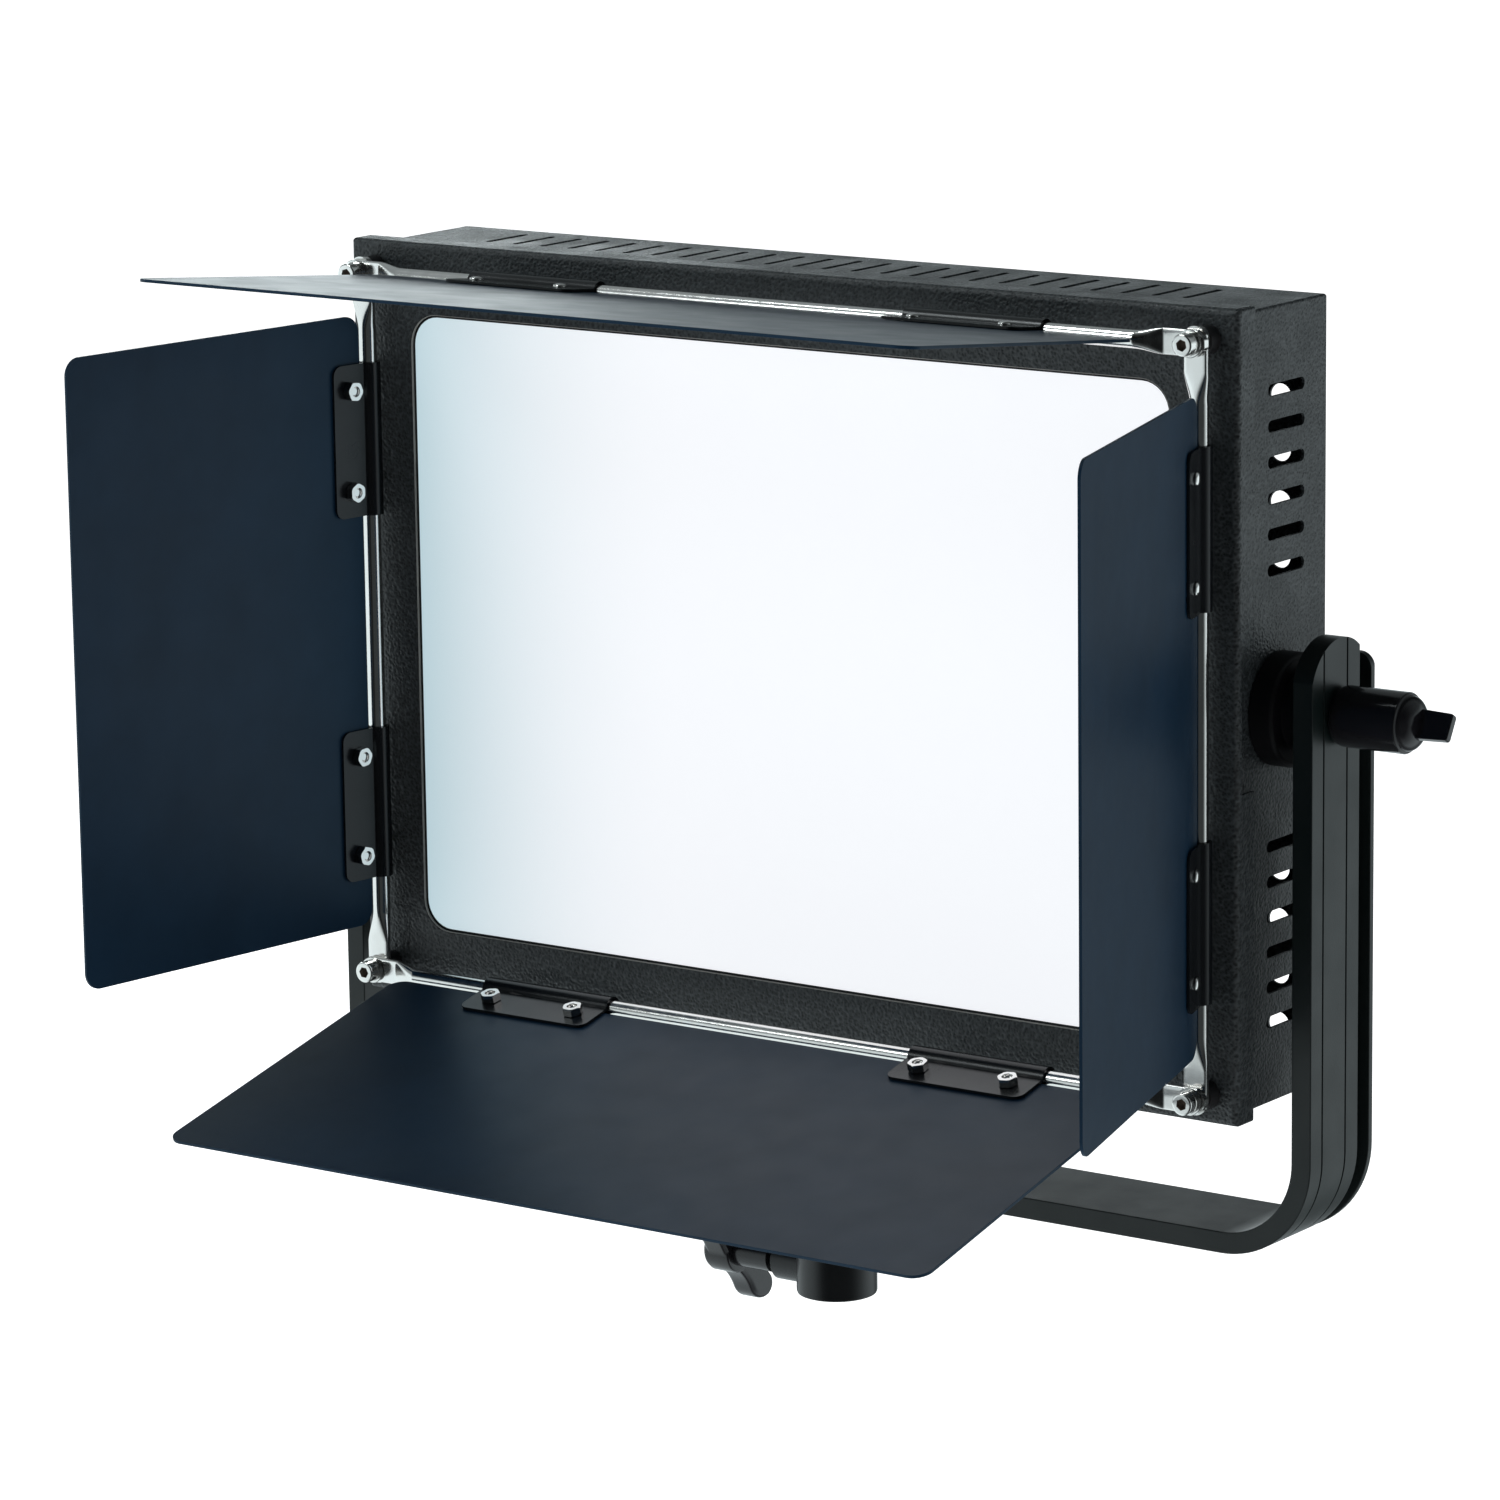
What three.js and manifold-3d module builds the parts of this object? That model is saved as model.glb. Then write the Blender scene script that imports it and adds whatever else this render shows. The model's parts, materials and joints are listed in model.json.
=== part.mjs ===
// LED panel light: a flat lamp head with four barn doors, tilting in a U-shaped yoke on a stand receiver.
// Millimetres, +Z up. The lamp shines along -Y. The origin is the centre of the stand socket's mouth.
import * as THREE from 'three';
import { mergeVertices } from 'three/addons/utils/BufferGeometryUtils.js';
import Module from 'manifold-3d';

const wasm = await Module();
wasm.setup();

// ---------------------------------------------------------------- driving dimensions
const panel = { width: 410, height: 305, depth: 70.8 };
const pivotHeight = 256.5;            // tilt axis above the socket's mouth
const sheet = 1.2;                    // folded steel thickness
const bendRadius = 2.5;
const gap = 0.3;                      // clearance between touching pieces
const frontY = -34.5;
const backY = frontY + panel.depth;

const bezel = { depth: 12, notchHalf: 27, notchFrom: 3 };
const windowSize = { width: 351.5, height: 249, radius: 12.5 };
const housing = { sideInset: 4, edgeInset: 2.5 };
const sideSlots = { count: 6, first: 52, pitch: 13.4, length: 26, height: 4.6, y: 6 };
const topSlots = { count: 25, pitch: 13.5, length: 26, width: 3, y: 11 };
const backVents = { count: 5, pitch: 20.2, radius: 4.6, first: 49.7, x: 181 };

const rod = {
  radius: 3.45, flatHalfWidth: 4.9, flatHalfThickness: 1.3, endBeyondBolt: 6, flat: 16, flare: 12,
};
const boltInset = { x: 12.5, z: 11.5 };
const boltX = panel.width / 2 - boltInset.x;
const boltZ = panel.height / 2 - boltInset.z;
const flatOffset = rod.radius - rod.flatHalfThickness;   // the flats are pressed to one side of the tube
const sideFlatY = frontY - 8.5;
const levelFlatY = frontY - 11.4;
const sideRodY = sideFlatY + flatOffset;
const levelRodY = levelFlatY - flatOffset;

const leaf = { start: 5.5, thickness: 1.2, cornerRadius: 7 };
const clip = { length: 61, innerRadius: 3.75, thickness: 1, tabEnd: 20.5, chamfer: 4 };
const screw = { spacing: 40.4, reach: 12, shankRadius: 1.8, holeRadius: 2.1 };

const yoke = { inner: 219.5, thickness: 8.4, front: -20, rear: 25.5, underside: 50.1, bendOuter: 38.9 };
const yokeBar = { width: 34.5, crownRadius: 21.5, crownLift: 7.5, crownShift: 0.5 };
const yokeWeb = { width: 8, thickness: 2, topAbovePivot: 17 };
const yokeFlange = { topAbovePivot: 19.5, cornerRadius: 6 };
const groove = { width: 0.8, depth: 0.6, offsets: [8, 24.8] };
const pivotHoleRadius = 4.4;
const studRadius = 4;

const disc = { radius: 21.5, thickness: 10, hubRadius: 15 };
const receiver = { radius: 16, height: 49.8, boreRadius: 8.25, boreDepth: 42 };
const clampAxis = {
  z: 10, bossRadius: 8.5, bossEnd: 27, collarRadius: 6.5, collarFrom: 30, knobFrom: 46, knobTo: 58,
};

const control = { z: -95, plateWidth: 240, plateHeight: 56, plateThickness: 2 };
const controlX = { dimmer: -88, colour: -44, powerSwitch: 12, inlet: 74 };

// ---------------------------------------------------------------- solids
// closed three.js geometry to a manifold solid
function solid(geometry) {
  const bare = geometry.index ? geometry.clone() : geometry;
  bare.deleteAttribute('normal');
  bare.deleteAttribute('uv');
  const merged = mergeVertices(bare, 1e-4);
  const mesh = new wasm.Mesh({
    numProp: 3,
    vertProperties: new Float32Array(merged.attributes.position.array),
    triVerts: new Uint32Array(merged.index.array),
  });
  return new wasm.Manifold(mesh);
}

function geometryOf(body) {
  const mesh = body.getMesh();
  const geometry = new THREE.BufferGeometry();
  geometry.setAttribute('position', new THREE.BufferAttribute(new Float32Array(mesh.vertProperties), 3));
  geometry.setIndex(new THREE.BufferAttribute(new Uint32Array(mesh.triVerts), 1));
  return geometry;
}

function join(base, ...others) {
  return geometryOf(others.reduce((body, other) => body.add(solid(other)), solid(base)));
}

function cut(base, ...tools) {
  return geometryOf(tools.reduce((body, tool) => body.subtract(solid(tool)), solid(base)));
}

function keepInside(base, limit) {
  return geometryOf(solid(base).intersect(solid(limit)));
}

const axisX = new THREE.Vector3(1, 0, 0);
const axisY = new THREE.Vector3(0, 1, 0);
const axisZ = new THREE.Vector3(0, 0, 1);

// outline drawn in (x, z), extruded from y = from to y = to
function extrudeAlongY(shape, from, to, options = {}) {
  const geometry = new THREE.ExtrudeGeometry(shape, { depth: to - from, bevelEnabled: false, ...options });
  const turn = new THREE.Matrix4().makeBasis(axisX, axisZ, axisY.clone().negate());
  return geometry.applyMatrix4(turn).translate(0, to, 0);
}

// outline drawn in (y, z), extruded from x = from to x = to
function extrudeAlongX(shape, from, to, options = {}) {
  const geometry = new THREE.ExtrudeGeometry(shape, { depth: to - from, bevelEnabled: false, ...options });
  return geometry.applyMatrix4(new THREE.Matrix4().makeBasis(axisY, axisZ, axisX)).translate(from, 0, 0);
}

// outline drawn in (x, y), extruded from z = from to z = to
function extrudeAlongZ(shape, from, to, options = {}) {
  const geometry = new THREE.ExtrudeGeometry(shape, { depth: to - from, bevelEnabled: false, ...options });
  return geometry.translate(0, 0, from);
}

function box(x0, x1, y0, y1, z0, z1) {
  const geometry = new THREE.BoxGeometry(x1 - x0, y1 - y0, z1 - z0);
  return geometry.translate((x0 + x1) / 2, (y0 + y1) / 2, (z0 + z1) / 2);
}

// turned piece about the Z axis; points are [radius, height] from axis to axis, or a closed ring
function turned(points, segments = 24) {
  const profile = points.map(([radius, height]) => new THREE.Vector2(radius, height));
  return new THREE.LatheGeometry(profile, segments).rotateX(Math.PI / 2);
}

function cylinder(radius, from, to, segments = 20) {
  return turned([[0, from], [radius, from], [radius, to], [0, to]], segments);
}

const alongX = (geometry) => geometry.rotateY(Math.PI / 2);
const alongBack = (geometry) => geometry.rotateX(-Math.PI / 2);   // +Z becomes +Y

function polygon(points) {
  return new THREE.Shape(points.map(([x, y]) => new THREE.Vector2(x, y)));
}

function roundedRectangle(width, height, radius, centreX = 0, centreY = 0) {
  const left = centreX - width / 2;
  const right = centreX + width / 2;
  const low = centreY - height / 2;
  const high = centreY + height / 2;
  const shape = new THREE.Shape();
  shape.moveTo(left + radius, low);
  shape.lineTo(right - radius, low);
  shape.absarc(right - radius, low + radius, radius, -Math.PI / 2, 0);
  shape.lineTo(right, high - radius);
  shape.absarc(right - radius, high - radius, radius, 0, Math.PI / 2);
  shape.lineTo(left + radius, high);
  shape.absarc(left + radius, high - radius, radius, Math.PI / 2, Math.PI);
  shape.lineTo(left, low + radius);
  shape.absarc(left + radius, low + radius, radius, Math.PI, 1.5 * Math.PI);
  return shape;
}

// slot with its ends cut to octagon corners
function slotOutline(width, height, centreX, centreY) {
  const chamfer = 0.3 * Math.min(width, height);
  const x = width / 2;
  const y = height / 2;
  return polygon([
    [-x + chamfer, -y], [x - chamfer, -y], [x, -y + chamfer], [x, y - chamfer],
    [x - chamfer, y], [-x + chamfer, y], [-x, y - chamfer], [-x, -y + chamfer],
  ].map(([u, v]) => [u + centreX, v + centreY]));
}

function chamferedRectangle(halfX, low, high, chamferLow, chamferHigh) {
  return polygon([
    [-halfX + chamferLow, low], [halfX - chamferLow, low], [halfX, low + chamferLow],
    [halfX, high - chamferHigh], [halfX - chamferHigh, high], [-halfX + chamferHigh, high],
    [-halfX, high - chamferHigh], [-halfX, low + chamferLow],
  ]);
}

// a folded tray's outside: rounded at both ends of its depth
function foldedBlock(width, height, from, to) {
  const outline = polygon([
    [-width / 2 + bendRadius, -height / 2 + bendRadius], [width / 2 - bendRadius, -height / 2 + bendRadius],
    [width / 2 - bendRadius, height / 2 - bendRadius], [-width / 2 + bendRadius, height / 2 - bendRadius],
  ]);
  return extrudeAlongY(outline, from + bendRadius, to - bendRadius, {
    bevelEnabled: true, bevelThickness: bendRadius, bevelSize: bendRadius, bevelSegments: 3,
  });
}

// ---------------------------------------------------------------- materials
function finish(color, roughness, metalness) {
  return new THREE.MeshStandardMaterial({ color, roughness, metalness });
}
const crinkleBlack = finish(0x1b1c20, 0.55, 0.1);
const leafBlack = finish(0x23262d, 0.6, 0.1);
const clipBlack = finish(0x15161a, 0.35, 0.2);
const satinBlack = finish(0x1a1c20, 0.4, 0.4);
const nickel = finish(0xd9d4cb, 0.2, 1);
const opal = finish(0xf4f7fb, 0.5, 0);
const whiteReflector = finish(0xf2f2f0, 0.6, 0);
const boardWhite = finish(0xe8eae6, 0.5, 0);
const rawAluminium = finish(0xb9bcc0, 0.4, 0.9);
const boardGreen = finish(0x1f5a3a, 0.5, 0);
const plasticBlack = finish(0x121316, 0.25, 0);
const matteBlack = finish(0x1c1d1f, 0.7, 0);

const lamp = new THREE.Group();
const head = new THREE.Group();
head.position.set(0, 0, pivotHeight);
lamp.add(head);

function addPart(parent, name, geometry, material) {
  const mesh = new THREE.Mesh(geometry, material);
  mesh.name = name;
  parent.add(mesh);
  return mesh;
}

// ---------------------------------------------------------------- head: shells
const corners = [
  { name: 'top_left', x: -boltX, z: boltZ },
  { name: 'top_right', x: boltX, z: boltZ },
  { name: 'bottom_left', x: -boltX, z: -boltZ },
  { name: 'bottom_right', x: boltX, z: -boltZ },
];

function frontBezel() {
  const halfX = panel.width / 2;
  const halfZ = panel.height / 2;
  const rear = frontY + bezel.depth;
  const outside = foldedBlock(panel.width, panel.height, frontY, rear + 2 * bendRadius);
  const behind = box(-halfX - 1, halfX + 1, rear, rear + 20, -halfZ - 1, halfZ + 1);
  const inside = box(
    -halfX + sheet, halfX - sheet, frontY + sheet, rear + 20, -halfZ + sheet, halfZ - sheet,
  );
  const opening = roundedRectangle(windowSize.width, windowSize.height, windowSize.radius);
  const window = extrudeAlongY(opening, frontY - 5, frontY + 5, { curveSegments: 4 });
  const notch = box(
    -halfX - 1, halfX + 1, frontY + bezel.notchFrom, rear + 1, -bezel.notchHalf, bezel.notchHalf,
  );
  const holes = corners.map(({ x, z }) => (
    alongBack(cylinder(2.75, frontY - 5, frontY + 5, 10)).translate(x, 0, z)
  ));
  return cut(outside, behind, inside, window, notch, ...holes);
}

function rearHousing() {
  const width = panel.width - 2 * housing.sideInset;
  const height = panel.height - 2 * housing.edgeInset;
  const front = frontY + sheet + gap;
  const outside = foldedBlock(width, height, front - 3 * bendRadius, backY);
  const before = box(-width, width, front - 20, front, -height, height);
  const inside = box(
    -width / 2 + sheet, width / 2 - sheet, front - 20, backY - sheet, -height / 2 + sheet, height / 2 - sheet,
  );
  const tools = [before, inside];
  for (let i = 0; i < topSlots.count; i += 1) {
    const x = (i - (topSlots.count - 1) / 2) * topSlots.pitch;
    tools.push(extrudeAlongZ(slotOutline(topSlots.width, topSlots.length, x, topSlots.y), -height, height));
  }
  for (let i = 0; i < sideSlots.count; i += 1) {
    for (const side of [-1, 1]) {
      const z = side * (sideSlots.first + i * sideSlots.pitch);
      const outline = slotOutline(sideSlots.length, sideSlots.height, sideSlots.y, z);
      tools.push(extrudeAlongX(outline, -width, width));
    }
  }
  for (const x of [-backVents.x, backVents.x]) {
    for (let i = 0; i < backVents.count; i += 1) {
      for (const side of [-1, 1]) {
        const z = side * (backVents.first + i * backVents.pitch);
        tools.push(alongBack(cylinder(backVents.radius, backY - 4, backY + 4, 8)).translate(x, 0, z));
      }
    }
  }
  tools.push(alongX(cylinder(pivotHoleRadius, -width, width, 12)));
  return cut(outside, ...tools, ...controlHoles(0, 60));
}

// holes for the rear controls, cut through the housing and the control plate
function controlHoles(from, to) {
  const shafts = [controlX.dimmer, controlX.colour].map((x) => (
    alongBack(cylinder(3.4, from, to, 12)).translate(x, 0, control.z)
  ));
  const switchHole = box(
    controlX.powerSwitch - 11, controlX.powerSwitch + 11, from, to, control.z - 7.3, control.z + 7.3,
  );
  const inletHole = box(controlX.inlet - 14, controlX.inlet + 14, from, to, control.z - 10, control.z + 10);
  return [...shafts, switchHole, inletHole];
}

addPart(head, 'front_bezel', frontBezel(), crinkleBlack);
addPart(head, 'rear_housing', rearHousing(), crinkleBlack);

// ---------------------------------------------------------------- head: light source, front to back
const diffuser = { width: 372, height: 269, thickness: 3, y: frontY + sheet + gap };
const lightBox = { width: 376, height: 273, wall: 3, depth: 21, y: diffuser.y + diffuser.thickness + gap };
const ledBoard = { thickness: 1.6, y: lightBox.y + lightBox.depth + gap, columns: 8, rows: 6 };
const heatPlate = { width: 384, height: 281, thickness: 2, y: ledBoard.y + ledBoard.thickness + gap };

function diffuserPanel() {
  const outline = roundedRectangle(diffuser.width, diffuser.height, 30);
  return extrudeAlongY(outline, diffuser.y, diffuser.y + diffuser.thickness, { curveSegments: 3 });
}

function reflectorFrame() {
  const { width, height, wall, depth, y } = lightBox;
  const outside = box(-width / 2, width / 2, y, y + depth, -height / 2, height / 2);
  const inside = box(
    -width / 2 + wall, width / 2 - wall, y - 1, y + depth + 1, -height / 2 + wall, height / 2 - wall,
  );
  return cut(outside, inside);
}

function ledPlate() {
  const { width, height } = lightBox;
  const { thickness, y, columns, rows } = ledBoard;
  const board = box(-width / 2, width / 2, y, y + thickness, -height / 2, height / 2);
  const chips = [];
  for (let column = 0; column < columns; column += 1) {
    for (let row = 0; row < rows; row += 1) {
      const x = (column - (columns - 1) / 2) * (width - 30) / columns;
      const z = (row - (rows - 1) / 2) * (height - 30) / rows;
      chips.push(box(x - 1.75, x + 1.75, y - 0.8, y + 0.4, z - 1.4, z + 1.4));
    }
  }
  return join(board, ...chips);
}

function ribbedHeatPlate() {
  const { width, height, thickness, y } = heatPlate;
  const plate = box(-width / 2, width / 2, y, y + thickness, -height / 2, height / 2);
  const ribs = [];
  for (let x = -165; x <= 165; x += 30) {
    ribs.push(box(x - 1, x + 1, y + 0.5, y + thickness + 6, -height / 2 + 10, height / 2 - 10));
  }
  return join(plate, ...ribs);
}

function powerSupply() {
  const can = box(-175, -35, 6, 30, 25, 95);
  const terminals = box(-35.5, -22, 6, 20, 32, 88);
  return join(can, terminals);
}

function driverBoard() {
  const board = box(-120, 0, 10, 11.6, control.z - 28, control.z + 28);
  const chips = [
    box(controlX.dimmer - 8, controlX.dimmer + 8, 11, 26, control.z - 8, control.z + 8),
    box(controlX.colour - 8, controlX.colour + 8, 11, 26, control.z - 8, control.z + 8),
    box(-24, -8, 11, 20, control.z - 20, control.z + 4),
    box(-70, -62, 11, 16, control.z + 12, control.z + 24),
  ];
  return join(board, ...chips);
}

addPart(head, 'diffuser_panel', diffuserPanel(), opal);
addPart(head, 'light_box', reflectorFrame(), whiteReflector);
addPart(head, 'led_board', ledPlate(), boardWhite);
addPart(head, 'heat_plate', ribbedHeatPlate(), rawAluminium);
addPart(head, 'power_supply', powerSupply(), rawAluminium);
addPart(head, 'driver_board', driverBoard(), boardGreen);

// ---------------------------------------------------------------- head: pivots
const housingSide = panel.width / 2 - housing.sideInset;

// disc against the housing with a hub out to the yoke arm, bored for the clamp stud
function frictionDisc(side) {
  const base = housingSide + gap;
  const rim = base + disc.thickness;
  const end = yoke.inner - gap;
  const ring = turned([
    [pivotHoleRadius, base], [disc.radius, base], [disc.radius, rim - 1], [disc.radius - 1, rim],
    [disc.hubRadius, rim], [disc.hubRadius, end], [pivotHoleRadius, end], [pivotHoleRadius, base],
  ], 20);
  return ring.rotateY(side * Math.PI / 2);
}

addPart(head, 'friction_disc_right', frictionDisc(1), plasticBlack);
addPart(head, 'friction_disc_left', frictionDisc(-1), plasticBlack);

// ---------------------------------------------------------------- head: rear controls
const plateBack = backY + gap + control.plateThickness;

function controlPlate() {
  const outline = roundedRectangle(control.plateWidth, control.plateHeight, 4, 0, control.z);
  const plate = extrudeAlongY(outline, backY + gap, plateBack, { curveSegments: 2 });
  return cut(plate, ...controlHoles(20, 60));
}

// skirted knob with a pointer rib, its shaft running in to the driver board
function controlKnob() {
  const base = plateBack + gap;
  const body = turned([
    [0, 26.5], [3, 26.5], [3, base], [11, base], [11, base + 3], [9, base + 4.5],
    [8.5, base + 13], [7.8, base + 14], [0, base + 14],
  ], 16);
  const pointer = box(-0.8, 0.8, 0, 8, base + 12, base + 15);
  return alongBack(join(body, pointer));
}

// rocker: a sector that swings on a pin at its centre
const rocker = { pivotY: backY - 4.5, radius: 9.5, halfAngle: 0.66, halfWidth: 10.3, rest: -8 };

function rockerKey() {
  const sector = new THREE.Shape();
  sector.moveTo(-3, 0);
  sector.lineTo(rocker.radius * Math.cos(rocker.halfAngle), -rocker.radius * Math.sin(rocker.halfAngle));
  sector.absarc(0, 0, rocker.radius, -rocker.halfAngle, rocker.halfAngle);
  return extrudeAlongX(sector, -rocker.halfWidth, rocker.halfWidth, { curveSegments: 4 });
}

// appliance inlet: flange outside, body through the plate, three contact pins in a recess
const inlet = {
  halfX: 13.6, halfZ: 9.6, depth: 22, cavityX: 12.2, cavityZ: 8, cavityDepth: 16, pinLength: 9,
};

function powerInlet() {
  const face = plateBack + gap + 2.5;
  const flangeShape = roundedRectangle(40, 26, 4);
  const flange = extrudeAlongY(flangeShape, plateBack + gap, face, { curveSegments: 2 });
  const body = box(-inlet.halfX, inlet.halfX, face - inlet.depth, face - 1, -inlet.halfZ, inlet.halfZ);
  const floor = face - inlet.cavityDepth;
  const cavity = box(-inlet.cavityX, inlet.cavityX, floor, face + 1, -inlet.cavityZ, inlet.cavityZ);
  const shell = cut(join(flange, body), cavity);
  const pins = [[-7, -1.5], [0, 2.5], [7, -1.5]].map(([x, z]) => (
    box(x - 1, x + 1, floor - 1, floor + inlet.pinLength, z - 2, z + 2)
  ));
  return join(shell, ...pins);
}

addPart(head, 'control_plate', controlPlate(), matteBlack);
addPart(head, 'dimmer_knob', controlKnob(), plasticBlack).position.set(controlX.dimmer, 0, control.z);
addPart(head, 'colour_knob', controlKnob(), plasticBlack).position.set(controlX.colour, 0, control.z);
const rockerMesh = addPart(head, 'power_switch', rockerKey(), plasticBlack);
rockerMesh.position.set(controlX.powerSwitch, rocker.pivotY, control.z);
rockerMesh.rotation.x = THREE.MathUtils.degToRad(rocker.rest);
addPart(head, 'power_inlet', powerInlet(), plasticBlack).position.set(controlX.inlet, 0, control.z);

// ---------------------------------------------------------------- barn-door frame
// round tube flattened at both ends, built along Y with its flats facing Z; side is where the flats lie
function flattenedTube(boltDistance, side) {
  const end = boltDistance + rod.endBeyondBolt;
  const flatEnd = boltDistance - rod.flat;
  const half = [flatEnd - rod.flare, flatEnd - 0.65 * rod.flare, flatEnd - 0.3 * rod.flare, flatEnd, end];
  const stations = [...half.map((y) => -y).reverse(), ...half];
  const flatness = [0, 0.35, 0.8, 1, 1];
  const squash = [...flatness.slice().reverse(), ...flatness];
  const tube = new THREE.CylinderGeometry(1, 1, 1, 10, stations.length - 1);
  const position = tube.attributes.position;
  for (let i = 0; i < position.count; i += 1) {
    const station = Math.round((position.getY(i) + 0.5) * (stations.length - 1));
    const flat = squash[station];
    const radius = Math.hypot(position.getX(i), position.getZ(i));
    const angle = Math.atan2(position.getZ(i), position.getX(i));
    const power = THREE.MathUtils.lerp(1, 0.4, flat);
    const bulge = (value) => Math.sign(value) * Math.abs(value) ** power;
    const wide = THREE.MathUtils.lerp(rod.radius, rod.flatHalfWidth, flat);
    const thick = THREE.MathUtils.lerp(rod.radius, rod.flatHalfThickness, flat);
    const x = radius < 0.5 ? 0 : wide * bulge(Math.cos(angle));
    const z = side * flat * flatOffset + (radius < 0.5 ? 0 : thick * bulge(Math.sin(angle)));
    position.setXYZ(i, x, stations[station], z);
  }
  const plan = chamferedRectangle(rod.flatHalfWidth + 1, -end, end, 4, 4);
  const trimmed = keepInside(tube, extrudeAlongZ(plan, -6, 6));
  const holes = [-boltDistance, boltDistance].map((y) => cylinder(2.75, -6, 6, 8).translate(0, y, 0));
  return cut(trimmed, ...holes);
}

// along X with its flats facing Y, or along Z with its flats facing Y
const levelRod = () => flattenedTube(boltX, -1).rotateZ(Math.PI / 2).rotateX(Math.PI / 2);
const uprightRod = () => flattenedTube(boltZ, 1).rotateX(Math.PI / 2);

addPart(head, 'top_rod', levelRod(), nickel).position.set(0, levelRodY, boltZ);
addPart(head, 'bottom_rod', levelRod(), nickel).position.set(0, levelRodY, -boltZ);
addPart(head, 'left_rod', uprightRod(), nickel).position.set(-boltX, sideRodY, 0);
addPart(head, 'right_rod', uprightRod(), nickel).position.set(boltX, sideRodY, 0);

// socket-head screw on a washer; its head looks along -Y
function cornerBolt() {
  const seat = -(levelFlatY - rod.flatHalfThickness - gap);
  const shank = -frontY - 5;
  const body = turned([
    [0, shank], [2.4, shank], [2.4, seat], [5.2, seat], [5.2, seat + 1],
    [4.25, seat + 1], [4.25, seat + 5.5], [3.75, seat + 6], [0, seat + 6],
  ], 12);
  const socket = new THREE.CylinderGeometry(2.3, 2.3, 6, 6).rotateX(Math.PI / 2).translate(0, 0, seat + 6);
  return cut(body, socket).rotateX(Math.PI / 2);
}

function cornerSpacer() {
  const from = gap;
  const to = frontY - sideFlatY - rod.flatHalfThickness - gap;
  const ring = turned([[2.75, from], [5.5, from], [5.5, to], [2.75, to], [2.75, from]], 10);
  return ring.rotateX(Math.PI / 2).translate(0, frontY, 0);
}

for (const { name, x, z } of corners) {
  addPart(head, `corner_bolt_${name}`, cornerBolt(), nickel).position.set(x, 0, z);
  addPart(head, `corner_spacer_${name}`, cornerSpacer(), plasticBlack).position.set(x, 0, z);
}

// ---------------------------------------------------------------- barn doors
// A door's own frame has the rod along X, the leaf reaching along -Y and the outside of the lamp at +Z.
function screwPlaces(clipCentre) {
  return [-clipCentre, clipCentre].flatMap((centre) => (
    [centre - screw.spacing / 2, centre + screw.spacing / 2]
  ));
}

function doorLeaf(length, reach, clipCentre) {
  const depth = reach - leaf.start;
  const outline = roundedRectangle(length, depth, leaf.cornerRadius, 0, -leaf.start - depth / 2);
  const plate = extrudeAlongZ(outline, -leaf.thickness / 2, leaf.thickness / 2, { curveSegments: 2 });
  const holes = screwPlaces(clipCentre).map((x) => (
    cylinder(screw.holeRadius, -3, 3, 8).translate(x, -screw.reach, 0)
  ));
  return cut(plate, ...holes);
}

// strip wrapped round the rod, its two tabs gripping the leaf
function hingeClip() {
  const slot = leaf.thickness / 2 + gap;
  const outerTab = slot + clip.thickness;
  const outerRadius = clip.innerRadius + clip.thickness;
  const outerAngle = Math.asin(outerTab / outerRadius);
  const innerAngle = Math.asin(slot / clip.innerRadius);
  const strip = new THREE.Shape();
  strip.moveTo(-clip.tabEnd, outerTab);
  strip.absarc(0, 0, outerRadius, Math.PI - outerAngle, -Math.PI + outerAngle, true);
  strip.lineTo(-clip.tabEnd, -outerTab);
  strip.lineTo(-clip.tabEnd, -slot);
  strip.absarc(0, 0, clip.innerRadius, -Math.PI + innerAngle, Math.PI - innerAngle, false);
  strip.lineTo(-clip.tabEnd, slot);
  const curl = extrudeAlongX(strip, -clip.length / 2, clip.length / 2, { curveSegments: 6 });
  const plan = chamferedRectangle(clip.length / 2, -clip.tabEnd, 8, clip.chamfer, 0.5);
  const holes = [-1, 1].map((side) => (
    cylinder(screw.holeRadius, -5, 5, 8).translate(side * screw.spacing / 2, -screw.reach, 0)
  ));
  return cut(keepInside(curl, extrudeAlongZ(plan, -8, 8)), ...holes);
}

// low domed screw from outside with its hexagon nut inside
function clipScrew() {
  const seat = leaf.thickness / 2 + gap + clip.thickness + gap;
  const nut = { height: 3.2, radius: 4.04 };
  const body = turned([
    [0, -seat - nut.height - 1.2], [screw.shankRadius, -seat - nut.height - 1.2], [screw.shankRadius, seat],
    [2.7, seat], [2.2, seat + 0.8], [0, seat + 1.2],
  ], 8);
  const hexagon = new THREE.CylinderGeometry(nut.radius, nut.radius, nut.height, 6).rotateX(Math.PI / 2);
  return join(body, hexagon.translate(0, 0, -seat - nut.height / 2));
}

function addDoor({ name, length, reach, clipCentre, position, turn, openDegrees, shift }) {
  const mounting = new THREE.Group();
  mounting.position.set(...position);
  mounting.rotation.y = turn;
  const door = new THREE.Group();
  door.position.x = shift;
  door.rotation.x = -THREE.MathUtils.degToRad(openDegrees);
  mounting.add(door);
  head.add(mounting);
  addPart(door, `${name}_leaf`, doorLeaf(length, reach, clipCentre), leafBlack);
  [-clipCentre, clipCentre].forEach((x, index) => {
    addPart(door, `${name}_clip_${index + 1}`, hingeClip(), clipBlack).position.set(x, 0, 0);
  });
  screwPlaces(clipCentre).forEach((x, index) => {
    addPart(door, `${name}_screw_${index + 1}`, clipScrew(), nickel).position.set(x, -screw.reach, 0);
  });
}

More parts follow.
